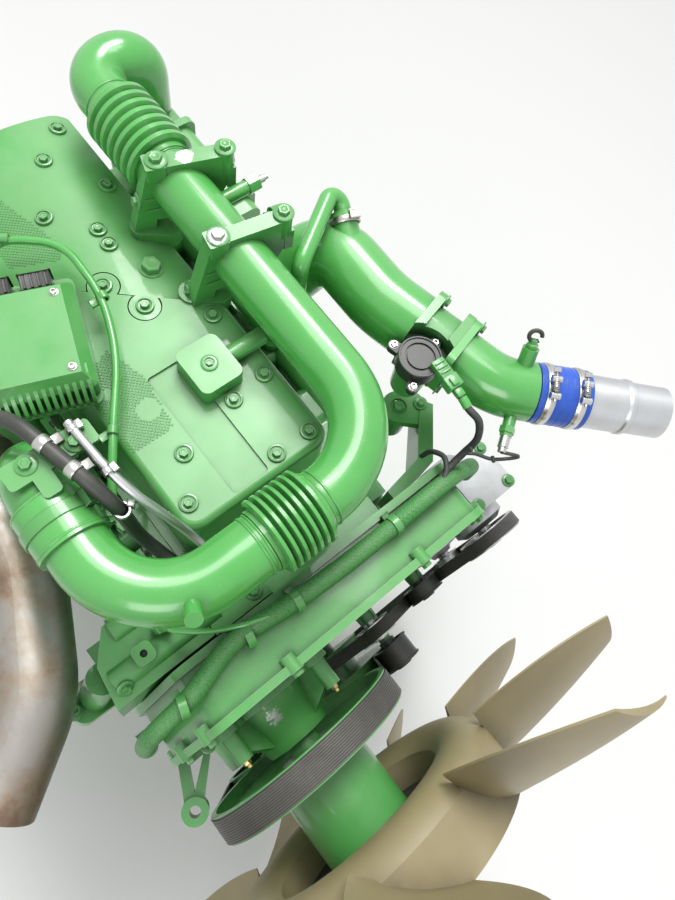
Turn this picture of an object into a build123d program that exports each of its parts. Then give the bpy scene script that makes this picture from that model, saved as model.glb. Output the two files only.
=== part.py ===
from build123d import *
import math
import os

os.makedirs("parts", exist_ok=True)

# Six-cylinder diesel engine with its belt drives and cooling fan, in millimetres.
# X runs along the crankshaft towards the fan, Y to the intake side, Z up.
# The origin is on the crankshaft axis at the rear face of the flywheel housing.

# Seats and running gaps
seat_gap = 0.3
rotor_gap = 6.0

# Cylinder block and head
housing_depth = 92.0
cylinder_count = 6
cylinder_pitch = 146.0
block_end_wall = 11.0
block_half_width = 165.0
skirt_half_width = 205.0
skirt_top = 60.0
skirt_shoulder = 50.0
pan_rail_height = -105.0
deck_height = 380.0
deck_lip = 6.0
deck_lip_height = 18.0
barrel_radius = 62.0
barrel_stand = 14.0
gallery_radius = 15.0
head_height = 120.0
head_half_width = 158.0
head_lip = 5.0
head_lip_height = 14.0
rib_thickness = 12.0
rib_depth = 16.0
core_plug_radius = 26.0
core_plug_depth = 17.0
core_plug_drop = 110.0

# Rocker covers, which meet on a slanted joint with two interlocking lobes
cover_height = 160.0
cover_crown = 22.0
cover_half_width = 129.0
cover_flange_half_width = 148.0
cover_flange_height = 14.0
cover_draft = 4.0
cover_joint_from_rear = 394.5
cover_joint_slope = 0.815
cover_front_inset = 118.0
cover_rear_inset = 26.0
cover_corner = 30.0
cover_edge_round = 12.0
cover_gap = 2.0
lobe_radius = 24.0
panel_length = 219.0
panel_front_inset = 20.0
panel_right = -44.0
panel_left = 19.0
panel_depth = 4.0
breather_y = 40.0
breather_length = 84.0
breather_width = 74.0
breather_height = 30.0
breather_stub_radius = 14.0
breather_stub_reach = 96.0

# Oil pan
pan_bottom = -340.0
pan_flange_height = 14.0
pan_half_width = 185.0
pan_floor_half_width = 158.0
pan_end_inset = 26.0
pan_floor_inset = 60.0
pan_corner = 40.0
pan_rib_stand = 14.0

# Flywheel housing and flywheel
housing_bolt_circle = 530.2
housing_bolt_count = 12
housing_bolt_radius = 5.1
housing_bolt_depth = 24.0
housing_bore_radius = 255.6
housing_outer_radius = 279.0
housing_waist_radius = 267.0
housing_back_wall = 18.0
flywheel_radius = 233.0
flywheel_thickness = 46.0
flywheel_recess = 12.0
ring_gear_radius = 243.0
ring_gear_width = 16.0
clutch_bolt_circle = 438.2
clutch_bolt_count = 8
clutch_bolt_radius = 5.1
crank_flange_radius = 58.0
crank_bore_depth = 30.0
pilot_bore_radius = 31.0

# Gear housing on the front of the block
gear_housing_depth = 105.0
gear_over_head = 90.0
gear_lip_width = 9.0
gear_lip_depth = 13.0
gear_boss_radius = 13.0
gear_boss_length = 24.0

# Belts and the crankshaft pulley
belt_thickness = 5.0
accessory_belt_offset = 55.0
accessory_belt_width = 24.0
fan_belt_offset = 124.0
fan_belt_width = 43.0
pulley_rim = 7.0
crank_nose_radius = 36.0
crank_accessory_radius = 92.0
crank_fan_radius = 120.0

# Fan and its drive
fan_axis_y = -155.0
fan_axis_z = 350.0
fan_pulley_radius = 180.0
fan_shaft_radius = 30.0
fan_housing_radius = 88.0
fan_spacer_radius = 82.0
fan_plate_offset = 309.0
fan_plate_thickness = 12.0
fan_hub_bore = 163.0
fan_hub_radius = 258.0
fan_hub_length = 116.0
fan_hub_wall = 12.0
fan_radius = 530.0
fan_blade_count = 9
fan_root_chord = 168.0
fan_belly_chord = 204.0
fan_tip_chord = 158.0
fan_root_pitch = 44.0
fan_belly_pitch = 30.0
fan_tip_pitch = 26.0
fan_blade_thickness = 10.0

# Exhaust gas pipe around the front and the left side of the rocker covers
gas_over_cover = 80.0
gas_radius = 42.0
gas_wall = 4.0
gas_right = -248.0
gas_left = 163.0
gas_front_inset = 50.0
gas_right_bend = 116.0
gas_left_bend = 128.0
gas_riser_foot = -214.0
gas_collar_radius = 48.0
gas_collar_length = 66.0
front_bellows_right = -67.0
front_bellows_left = 21.0
rear_bellows_length = 140.0
bellows_radius = 56.0
bellows_folds = 7

# Exhaust side
manifold_y = -232.0
manifold_over_deck = 60.0
manifold_radius = 38.0
turbo_from_rear = 408.0
turbo_y = -330.0
turbo_over_manifold = 122.0

# Intake side
intake_over_deck = 25.0
intake_outer = 290.0
intake_length = 744.0
charge_over_head = 170.0
charge_turn = 14.0
hose_turn = 45.0

# Sizes worked out from the ones above
block_rear = housing_depth
block_length = cylinder_count * cylinder_pitch + 2 * block_end_wall
block_front = block_rear + block_length
block_middle = block_rear + block_length / 2
gear_front = block_front + gear_housing_depth
head_top = deck_height + head_height
cover_top = head_top + cover_height
cover_front_end = block_front - cover_front_inset
cover_rear_end = block_rear + cover_rear_inset
cover_joint_x = block_rear + cover_joint_from_rear
panel_front = cover_front_end - panel_front_inset
panel_rear = panel_front - panel_length
breather_x = panel_rear + breather_length / 2 + 1
gear_housing_top = head_top + gear_over_head
accessory_belt_plane = gear_front + accessory_belt_offset
fan_belt_plane = gear_front + fan_belt_offset
fan_plate_plane = gear_front + fan_plate_offset
fan_hub_rear = fan_plate_plane - 68.0
fan_hub_front = fan_hub_rear + fan_hub_length
gas_height = cover_top + gas_over_cover
gas_front = block_front - gas_front_inset
gas_riser_x = block_front - 314.0
gas_start = gas_riser_x + gas_collar_length
rear_bellows_front = block_rear + 304.0
rear_bellows_rear = rear_bellows_front - rear_bellows_length
manifold_z = deck_height + manifold_over_deck
turbo_x = block_rear + turbo_from_rear
turbo_z = manifold_z + turbo_over_manifold
intake_bottom = deck_height + intake_over_deck
intake_top = head_top
charge_height = head_top + charge_over_head


def cylinder_x(cylinder):
    return block_rear + block_end_wall + (cylinder + 0.5) * cylinder_pitch


def save(piece, name):
    piece.part.label = name
    export_step(piece.part, f"parts/{name}.step")


def bent_tube(points, bends, outer, bore=0.0):
    with BuildPart() as tube:
        with BuildLine() as route:
            FilletPolyline(*points, radius=bends)
        with BuildSketch(Plane(origin=route.line @ 0, z_dir=route.line % 0)):
            Circle(outer)
            if bore:
                Circle(bore, mode=Mode.SUBTRACT)
        sweep(path=route.line)
    return tube


# Cylinder block: one section run over six cylinders, with barrels, deck lip, oil gallery
# and a rib at each bulkhead
barrel_bottom = skirt_top + skirt_shoulder - 20
with BuildPart() as cylinder_block:
    with BuildSketch(Plane.YZ.offset(block_rear)):
        with BuildLine():
            Polyline(
                (-skirt_half_width, pan_rail_height),
                (skirt_half_width, pan_rail_height),
                (skirt_half_width, skirt_top),
                (block_half_width, skirt_top + skirt_shoulder),
                (block_half_width, deck_height),
                (-block_half_width, deck_height),
                (-block_half_width, skirt_top + skirt_shoulder),
                (-skirt_half_width, skirt_top),
                close=True,
            )
        make_face()
        with Locations((-block_half_width - 4, skirt_top + skirt_shoulder + 26)):
            Circle(gallery_radius)
    extrude(amount=block_length)
    with BuildSketch(Plane.XY.offset(barrel_bottom)):
        barrel_y = block_half_width + barrel_stand - barrel_radius
        for cylinder in range(cylinder_count):
            with Locations((cylinder_x(cylinder), barrel_y), (cylinder_x(cylinder), -barrel_y)):
                Circle(barrel_radius)
    extrude(amount=deck_height - deck_lip_height - barrel_bottom)
    with BuildSketch(Plane.XY.offset(deck_height - deck_lip_height)):
        with Locations((block_middle, 0)):
            Rectangle(block_length, 2 * (block_half_width + deck_lip))
    extrude(amount=deck_lip_height)
    for bulkhead in range(cylinder_count + 1):
        rib_plane = block_rear + block_end_wall + bulkhead * cylinder_pitch - rib_thickness / 2
        rib_plane = min(max(rib_plane, block_rear), block_front - rib_thickness)
        with BuildSketch(Plane.YZ.offset(rib_plane)):
            with BuildLine():
                Polyline(
                    (-skirt_half_width - rib_depth, pan_rail_height),
                    (skirt_half_width + rib_depth, pan_rail_height),
                    (block_half_width + rib_depth, deck_height - deck_lip_height),
                    (-block_half_width - rib_depth, deck_height - deck_lip_height),
                    close=True,
                )
            make_face()
        extrude(amount=rib_thickness)
    with BuildSketch(Plane.XZ.offset(-block_half_width - core_plug_depth)):
        for cylinder in range(cylinder_count):
            with Locations((cylinder_x(cylinder), deck_height - core_plug_drop)):
                Circle(core_plug_radius)
    extrude(amount=2 * (block_half_width + core_plug_depth))
    with BuildSketch(Plane.YZ.offset(block_rear)):
        Circle(crank_flange_radius + seat_gap)
    extrude(amount=crank_bore_depth, mode=Mode.SUBTRACT)
save(cylinder_block, "cylinder_block")

# Cylinder head with a lip at its deck and cover faces, and a boss for each port
head_boss_width = 96.0
with BuildPart() as cylinder_head:
    with BuildSketch(Plane.XY.offset(deck_height)):
        with Locations((block_middle, 0)):
            Rectangle(block_length, 2 * head_half_width)
    extrude(amount=head_height)
    for lip_bottom in (deck_height, head_top - head_lip_height):
        with BuildSketch(Plane.XY.offset(lip_bottom)):
            with Locations((block_middle, 0)):
                Rectangle(block_length, 2 * (head_half_width + head_lip))
        extrude(amount=head_lip_height)
    with BuildSketch(Plane.XZ.offset(-block_half_width)):
        for cylinder in range(cylinder_count):
            with Locations((cylinder_x(cylinder), (intake_bottom + intake_top) / 2 - 10)):
                RectangleRounded(head_boss_width, 70, 20)
    extrude(amount=2 * block_half_width)
save(cylinder_head, "cylinder_head")

# Oil pan: cast sump with side ribs, drain boss and the flat floor that the engine stands on
pan_rib_thickness = 9.0
pan_flange_bottom = pan_rail_height - pan_flange_height
with BuildPart() as oil_pan:
    with BuildSketch(Plane.XY.offset(pan_rail_height)):
        with Locations((block_middle, 0)):
            RectangleRounded(block_length, 2 * skirt_half_width, 12)
    extrude(amount=-pan_flange_height)
    pan_length = block_length - 2 * pan_end_inset
    with BuildSketch(Plane.XY.offset(pan_flange_bottom)):
        with Locations((block_middle, 0)):
            RectangleRounded(pan_length, 2 * pan_half_width, pan_corner)
    with BuildSketch(Plane.XY.offset(pan_bottom)):
        with Locations((block_middle, 0)):
            RectangleRounded(pan_length - pan_floor_inset, 2 * pan_floor_half_width, pan_corner)
    loft()
    for bulkhead in range(1, cylinder_count):
        rib_plane = block_rear + block_end_wall + bulkhead * cylinder_pitch - pan_rib_thickness / 2
        with BuildSketch(Plane.YZ.offset(rib_plane)):
            with BuildLine():
                Polyline(
                    (-pan_half_width - pan_rib_stand, pan_flange_bottom),
                    (pan_half_width + pan_rib_stand, pan_flange_bottom),
                    (pan_floor_half_width + 7, pan_bottom + 30),
                    (-pan_floor_half_width - 7, pan_bottom + 30),
                    close=True,
                )
            make_face()
        extrude(amount=pan_rib_thickness)
    with BuildSketch(Plane.XZ.offset(pan_floor_half_width - 6)):
        with Locations((cylinder_x(1) - 30, pan_bottom + 36)):
            Circle(20)
    extrude(amount=22)
save(oil_pan, "oil_pan")

# Flywheel housing: waisted bell with the transmission bolt circle on its rear face and
# the starter's seat on its front wall
starter_y = -274.0
starter_z = -96.0
starter_seat_radius = 58.0
with BuildPart() as flywheel_housing:
    with BuildSketch(Plane.XZ):
        with BuildLine():
            Polyline(
                (0, housing_bore_radius),
                (0, housing_outer_radius),
                (housing_bolt_depth, housing_outer_radius),
                (housing_bolt_depth + 10, housing_waist_radius),
                (housing_depth - housing_back_wall - 8, housing_waist_radius),
                (housing_depth - housing_back_wall, housing_outer_radius - 5),
                (housing_depth, housing_outer_radius - 5),
                (housing_depth, crank_flange_radius + seat_gap),
                (housing_depth - housing_back_wall, crank_flange_radius + seat_gap),
                (housing_depth - housing_back_wall, housing_bore_radius),
                close=True,
            )
        make_face()
    revolve(axis=Axis.X)
    with BuildSketch(Plane.YZ.offset(housing_depth)):
        with Locations((starter_y, starter_z)):
            Circle(starter_seat_radius)
    extrude(amount=-housing_back_wall)
    with BuildSketch(Plane.YZ):
        with PolarLocations(housing_bolt_circle / 2, housing_bolt_count):
            Circle(housing_bolt_radius)
    extrude(amount=housing_bolt_depth, mode=Mode.SUBTRACT)
save(flywheel_housing, "flywheel_housing")

# Flywheel with its ring gear, clutch bolt circle and crankshaft flange
flywheel_front = flywheel_recess + flywheel_thickness
with BuildPart() as flywheel:
    with BuildSketch(Plane.YZ.offset(flywheel_recess)):
        Circle(flywheel_radius)
    extrude(amount=flywheel_thickness)
    with BuildSketch(Plane.YZ.offset(flywheel_front - ring_gear_width)):
        Circle(ring_gear_radius)
    extrude(amount=ring_gear_width)
    with BuildSketch(Plane.YZ.offset(flywheel_recess)):
        Circle(pilot_bore_radius)
        with PolarLocations(clutch_bolt_circle / 2, clutch_bolt_count):
            Circle(clutch_bolt_radius)
    extrude(amount=flywheel_thickness, mode=Mode.SUBTRACT)
    with BuildSketch(Plane.YZ.offset(flywheel_front)):
        Circle(crank_flange_radius)
    extrude(amount=block_rear + crank_bore_depth - 1 - flywheel_front)
save(flywheel, "flywheel")

# Rocker covers: each outline runs to the slanted joint, has its own lobe and is cut back
# round the other's
rear_lobe = (cover_joint_x + 42.5, 25.0)
front_lobe = (cover_joint_x - 20.5, -7.0)


def joint_at(y):
    return cover_joint_x + cover_joint_slope * y


def cover_outline(far_end, half_width, side):
    joint = side * cover_gap / 2
    own, other = (front_lobe, rear_lobe) if side > 0 else (rear_lobe, front_lobe)
    with BuildSketch() as outline:
        with BuildLine():
            Polyline(
                (far_end, -half_width),
                (joint_at(-half_width) + joint, -half_width),
                (joint_at(half_width) + joint, half_width),
                (far_end, half_width),
                close=True,
            )
        make_face()
        far_corners = outline.vertices().sort_by(Axis.X)
        fillet(far_corners[-2:] if side > 0 else far_corners[:2], cover_corner)
        with Locations(own):
            Circle(lobe_radius)
        with Locations(other):
            Circle(lobe_radius + cover_gap, mode=Mode.SUBTRACT)
    return outline.sketch


# Rear cover: crowned box with a bolted skirt
with BuildPart() as rear_rocker_cover:
    with BuildSketch(Plane.YZ.offset(cover_rear_end)):
        with BuildLine():
            shoulder = cover_top - cover_crown
            Polyline(
                (cover_half_width, shoulder),
                (cover_half_width + cover_draft, head_top),
                (-cover_half_width - cover_draft, head_top),
                (-cover_half_width, shoulder),
            )
            ThreePointArc(
                (-cover_half_width, shoulder), (0, cover_top), (cover_half_width, shoulder)
            )
        make_face()
    extrude(amount=joint_at(cover_half_width) + lobe_radius - cover_rear_end)
    with BuildSketch(Plane.XY.offset(head_top)):
        add(cover_outline(cover_rear_end + 10, cover_half_width + cover_draft, -1))
    extrude(amount=cover_height, mode=Mode.INTERSECT)
    with BuildSketch(Plane.XY.offset(head_top)):
        add(cover_outline(cover_rear_end, cover_flange_half_width, -1))
    extrude(amount=cover_flange_height)
save(rear_rocker_cover, "rear_rocker_cover")

# Front cover: drafted box with a sunk panel, breather box and stub pipe
with BuildPart() as front_rocker_cover:
    with BuildSketch(Plane.XY.offset(head_top)):
        add(cover_outline(cover_front_end, cover_flange_half_width, 1))
    extrude(amount=cover_flange_height)
    with BuildSketch(Plane.XY.offset(head_top + cover_flange_height)):
        add(cover_outline(cover_front_end - cover_draft, cover_half_width + cover_draft, 1))
    with BuildSketch(Plane.XY.offset(cover_top)):
        add(cover_outline(cover_front_end - 2 * cover_draft, cover_half_width, 1))
    loft(ruled=True)
    top_edges = front_rocker_cover.faces().sort_by(Axis.Z)[-1].edges()
    outer_edges = [
        edge for edge in top_edges if edge.center().X > joint_at(edge.center().Y) + 3 * lobe_radius
    ]
    fillet(outer_edges, cover_edge_round)
    with BuildSketch(Plane.XY.offset(cover_top - panel_depth)):
        with Locations(((panel_rear + panel_front) / 2, (panel_right + panel_left) / 2)):
            RectangleRounded(panel_front - panel_rear, panel_left - panel_right, 8)
    extrude(amount=panel_depth, mode=Mode.SUBTRACT)
    with BuildSketch(Plane.XY.offset(cover_top - panel_depth)):
        with Locations((breather_x, breather_y)):
            RectangleRounded(breather_length, breather_width, 14)
    extrude(amount=breather_height + panel_depth, taper=3)
    with BuildSketch(Plane.XZ.offset(-breather_y)):
        with Locations((breather_x, cover_top + breather_stub_radius + 1)):
            Circle(breather_stub_radius)
    extrude(amount=-breather_stub_reach)
save(front_rocker_cover, "front_rocker_cover")

# Belt pulleys: name, centre y, centre z, radius, side the belt runs on
accessory_pulleys = (
    ("crank_pulley", 0.0, 0.0, crank_accessory_radius, 1),
    ("alternator_pulley", 374.0, 40.0, 32.0, 1),
    ("compressor_pulley", 385.0, 290.0, 62.0, 1),
    ("tensioner_pulley", 232.0, 195.0, 38.0, -1),
    ("idler_pulley", 92.0, 215.0, 38.0, 1),
)
fan_belt_pulleys = (
    ("crank_pulley", 0.0, 0.0, crank_fan_radius, 1),
    ("fan_tensioner_pulley", 116.0, 126.0, 40.0, -1),
    ("fan_pulley", fan_axis_y, fan_axis_z, fan_pulley_radius, 1),
    ("water_pump_pulley", -245.0, 92.0, 54.0, 1),
)
accessory_hub_rear = 22.0
fan_belt_hub_rear = 34.0
wheel_post_radius = 20.0
water_pump_nose_radius = 48.0
crank_seal_radius = 62.0

# Gear housing: deep cast box on the front of the block, with a lip at both faces, bolt
# bosses along the front lip and the posts of the idler wheels
gear_outline = (
    (-170, pan_rail_height - pan_flange_height),
    (170, pan_rail_height - pan_flange_height),
    (262, -20),
    (305, 120),
    (305, 440),
    (262, gear_housing_top),
    (-240, gear_housing_top),
    (-322, 455),
    (-322, 180),
    (-250, -20),
)
# Share of the way along each side of the outline, for two bosses a side
gear_boss_shares = (0.25, 0.75)
with BuildPart() as gear_housing:
    with BuildSketch(Plane.YZ.offset(block_front)) as gear_section:
        with BuildLine():
            FilletPolyline(*gear_outline, radius=26, close=True)
        make_face()
    extrude(amount=gear_housing_depth)
    for lip_plane in (block_front, gear_front - gear_lip_depth):
        with BuildSketch(Plane.YZ.offset(lip_plane)):
            with BuildLine():
                FilletPolyline(*gear_outline, radius=26, close=True)
            make_face()
            offset(amount=gear_lip_width)
        extrude(amount=gear_lip_depth)
    with BuildSketch(Plane.YZ.offset(gear_front - gear_boss_length)):
        for (y1, z1), (y2, z2) in zip(gear_outline, gear_outline[1:] + gear_outline[:1]):
            for share in gear_boss_shares:
                with Locations((y1 + (y2 - y1) * share, z1 + (z2 - z1) * share)):
                    Circle(gear_boss_radius)
    extrude(amount=gear_boss_length)
    for _, wheel_y, wheel_z, _, _ in (accessory_pulleys[3], accessory_pulleys[4]):
        with BuildSketch(Plane.YZ.offset(gear_front)):
            with Locations((wheel_y, wheel_z)):
                Circle(wheel_post_radius)
        extrude(amount=accessory_belt_plane - accessory_hub_rear - seat_gap - gear_front, taper=4)
    for name, wheel_y, wheel_z, radius, _ in (fan_belt_pulleys[1], fan_belt_pulleys[3]):
        with BuildSketch(Plane.YZ.offset(gear_front)):
            with Locations((wheel_y, wheel_z)):
                Circle(water_pump_nose_radius if name == "water_pump_pulley" else wheel_post_radius)
        extrude(amount=fan_belt_plane - fan_belt_hub_rear - seat_gap - gear_front, taper=4)
    with BuildSketch(Plane.YZ.offset(gear_front)):
        Circle(crank_seal_radius)
    extrude(amount=9, taper=20)
    with BuildSketch(Plane.YZ.offset(gear_front + 9)):
        Circle(crank_nose_radius + seat_gap)
    extrude(amount=-69, mode=Mode.SUBTRACT)
save(gear_housing, "gear_housing")

# Fan drive housing: bearing bell on the gear housing, with four webs to its long bolt lugs
fan_housing_front = fan_belt_plane - fan_belt_width / 2 - rotor_gap
fan_lug_circle = 124.0
fan_lug_radius = 14.0
fan_lug_depth = 62.0
fan_foot_depth = 16.0
fan_nose_radius = 58.0
with BuildPart() as fan_drive_housing:
    with BuildSketch(Plane.YZ.offset(gear_front)):
        with Locations((fan_axis_y, fan_axis_z)):
            Circle(fan_housing_radius)
    with BuildSketch(Plane.YZ.offset(fan_housing_front)):
        with Locations((fan_axis_y, fan_axis_z)):
            Circle(fan_nose_radius)
    loft()
    with BuildSketch(Plane.YZ.offset(gear_front)):
        with Locations((fan_axis_y, fan_axis_z)):
            with PolarLocations(fan_lug_circle, 4, 45):
                Circle(fan_lug_radius)
    extrude(amount=fan_lug_depth)
    with BuildSketch(Plane.YZ.offset(gear_front)):
        with Locations((fan_axis_y, fan_axis_z)):
            Circle(fan_housing_radius + 12)
            with PolarLocations(fan_lug_circle, 4, 45):
                Circle(fan_lug_radius + 8)
            with PolarLocations(fan_lug_circle / 2, 4, 45):
                Rectangle(fan_lug_circle, 2 * fan_lug_radius + 12)
    extrude(amount=fan_foot_depth)
    for web in range(4):
        web_angle = math.radians(45 + 90 * web)
        web_side = (0, -math.sin(web_angle), math.cos(web_angle))
        with BuildSketch(Plane(origin=(gear_front, fan_axis_y, fan_axis_z), x_dir=(1, 0, 0), z_dir=web_side)):
            with BuildLine():
                Polyline(
                    (0, 0),
                    (0, fan_lug_circle),
                    (fan_lug_depth - 12, fan_lug_circle),
                    (fan_housing_front - gear_front - 14, fan_nose_radius),
                    (fan_housing_front - gear_front - 14, 0),
                    close=True,
                )
            make_face()
        extrude(amount=rib_thickness / 2, both=True)
    with BuildSketch(Plane.YZ.offset(fan_housing_front)):
        with Locations((fan_axis_y, fan_axis_z)):
            Circle(fan_shaft_radius + seat_gap)
    extrude(amount=-40, mode=Mode.SUBTRACT)
save(fan_drive_housing, "fan_drive_housing")


# A pulley is turned about its own axis: hub, web, rim and two belt flanges
def turn_pulley(plane, centre, radius, width, hub_rear, hub_front, hub_radius):
    rear = plane - width / 2 - 3
    front = plane + width / 2 + 3
    inner = radius - pulley_rim
    with BuildPart() as pulley:
        with BuildSketch(Plane(origin=(0, *centre), x_dir=(1, 0, 0), z_dir=(0, -1, 0))):
            with BuildLine():
                Polyline(
                    (hub_rear, 0),
                    (hub_rear, hub_radius),
                    (plane - 6, hub_radius),
                    (plane - 6, inner),
                    (rear, inner),
                    (rear, radius + 3),
                    (rear + 2.5, radius + 3),
                    (rear + 2.5, radius),
                    (front - 2.5, radius),
                    (front - 2.5, radius + 3),
                    (front, radius + 3),
                    (front, inner),
                    (plane + 6, inner),
                    (plane + 6, hub_radius),
                    (hub_front, hub_radius),
                    (hub_front, 0),
                    close=True,
                )
            make_face()
        revolve(axis=Axis((0, *centre), (1, 0, 0)))
    return pulley


def belt_line(pulleys, lift):
    # Straight runs between tangent points and an arc round each pulley
    count = len(pulleys)
    swung = []
    for index in range(count):
        _, y1, z1, r1, side1 = pulleys[index]
        _, y2, z2, r2, side2 = pulleys[(index + 1) % count]
        run1 = side1 * (r1 + (lift if side1 > 0 else belt_thickness + 2 * seat_gap - lift))
        run2 = side2 * (r2 + (lift if side2 > 0 else belt_thickness + 2 * seat_gap - lift))
        reach = math.hypot(y2 - y1, z2 - z1)
        turn = math.atan2(z2 - z1, y2 - y1) - math.acos((run1 - run2) / reach)
        swung.append((turn, run1, run2))
    for index in range(count):
        turn, run1, run2 = swung[index]
        _, y1, z1, _, _ = pulleys[index]
        _, y2, z2, _, side2 = pulleys[(index + 1) % count]
        leave = swung[(index + 1) % count][0]
        start = (y1 + run1 * math.cos(turn), z1 + run1 * math.sin(turn))
        end = (y2 + run2 * math.cos(turn), z2 + run2 * math.sin(turn))
        sweep_angle = (leave - turn) % (2 * math.pi) if side2 > 0 else -((turn - leave) % (2 * math.pi))
        middle = turn + sweep_angle / 2
        half = (y2 + run2 * math.cos(middle), z2 + run2 * math.sin(middle))
        after = (y2 + run2 * math.cos(leave), z2 + run2 * math.sin(leave))
        Line(start, end)
        ThreePointArc(end, half, after)


def closed_belt(pulleys, plane, width):
    with BuildPart() as belt:
        with BuildSketch(Plane.YZ.offset(plane - width / 2)):
            with BuildLine():
                belt_line(pulleys, belt_thickness + seat_gap)
            make_face()
            with BuildLine():
                belt_line(pulleys, seat_gap)
            make_face(mode=Mode.SUBTRACT)
        extrude(amount=width)
    return belt


accessory_belt = closed_belt(accessory_pulleys, accessory_belt_plane, accessory_belt_width)
save(accessory_belt, "accessory_belt")
fan_belt = closed_belt(fan_belt_pulleys, fan_belt_plane, fan_belt_width)
save(fan_belt, "fan_belt")

# Crankshaft pulley: two belt rims on one hub, with the nose that enters the gear housing
crank_hub_front = fan_belt_plane + fan_belt_width / 2 + 3
with BuildPart() as crank_pulley:
    with BuildSketch(Plane.XZ):
        with BuildLine():
            acc_rear = accessory_belt_plane - accessory_belt_width / 2 - 3
            acc_front = accessory_belt_plane + accessory_belt_width / 2 + 3
            fan_rear = fan_belt_plane - fan_belt_width / 2 - 3
            Polyline(
                (gear_front - 58, 0),
                (gear_front - 58, crank_nose_radius),
                (acc_rear, crank_nose_radius),
                (acc_rear, crank_accessory_radius + 3),
                (acc_rear + 2.5, crank_accessory_radius + 3),
                (acc_rear + 2.5, crank_accessory_radius),
                (acc_front - 2.5, crank_accessory_radius),
                (acc_front - 2.5, crank_accessory_radius + 3),
                (acc_front, crank_accessory_radius + 3),
                (acc_front, crank_nose_radius + 24),
                (fan_rear, crank_nose_radius + 24),
                (fan_rear, crank_fan_radius + 3),
                (fan_rear + 2.5, crank_fan_radius + 3),
                (fan_rear + 2.5, crank_fan_radius),
                (crank_hub_front - 2.5, crank_fan_radius),
                (crank_hub_front - 2.5, crank_fan_radius + 3),
                (crank_hub_front, crank_fan_radius + 3),
                (crank_hub_front, crank_fan_radius - 16),
                (crank_hub_front - 20, crank_fan_radius - 20),
                (crank_hub_front - 20, crank_nose_radius),
                (crank_hub_front + 6, crank_nose_radius - 6),
                (crank_hub_front + 6, 0),
                close=True,
            )
        make_face()
    revolve(axis=Axis.X)
save(crank_pulley, "crank_pulley")

# Fan pulley with its shaft stub and the spacer that carries the fan
fan_pulley_front = fan_belt_plane + fan_belt_width / 2 + 3
with BuildPart() as fan_pulley:
    add(
        turn_pulley(
            fan_belt_plane,
            (fan_axis_y, fan_axis_z),
            fan_pulley_radius,
            fan_belt_width,
            fan_housing_front - 36,
            fan_belt_plane + 12,
            fan_shaft_radius,
        ).part
    )
    with BuildSketch(Plane.YZ.offset(fan_belt_plane)):
        with Locations((fan_axis_y, fan_axis_z)):
            Circle(fan_spacer_radius)
    extrude(amount=fan_plate_plane - fan_belt_plane)
save(fan_pulley, "fan_pulley")

# Fan plate: disc that joins the spacer to the moulded fan hub
with BuildPart() as fan_plate:
    with BuildSketch(Plane.YZ.offset(fan_plate_plane)):
        with Locations((fan_axis_y, fan_axis_z)):
            Circle(fan_hub_bore)
    extrude(amount=fan_plate_thickness)
save(fan_plate, "fan_plate")

# Fan: moulded hub ring with a rounded rear edge and twisted, cambered blades
blade_middle = (fan_hub_rear + fan_hub_front) / 2
blade_edge = 1.5


def blade_section(radius, chord, pitch, camber):
    # Closed section of one blade on the plane at this radius, with blunt edges
    lean = math.radians(pitch)
    along = (math.sin(lean), math.cos(lean))
    across = (math.cos(lean), -math.sin(lean))

    def at(share, lift):
        return (
            along[0] * chord * share + across[0] * lift,
            along[1] * chord * share + across[1] * lift,
        )

    plane = Plane(
        origin=(blade_middle, fan_axis_y, fan_axis_z + radius), x_dir=(1, 0, 0), z_dir=(0, 0, 1)
    )
    with BuildSketch(plane) as section:
        with BuildLine():
            ThreePointArc(
                at(-0.5, blade_edge), at(0, camber + fan_blade_thickness / 2), at(0.5, blade_edge)
            )
            Line(at(0.5, blade_edge), at(0.5, -blade_edge))
            ThreePointArc(
                at(0.5, -blade_edge), at(0, camber - fan_blade_thickness / 2), at(-0.5, -blade_edge)
            )
            Line(at(-0.5, -blade_edge), at(-0.5, blade_edge))
        make_face()
    return section.sketch


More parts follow.
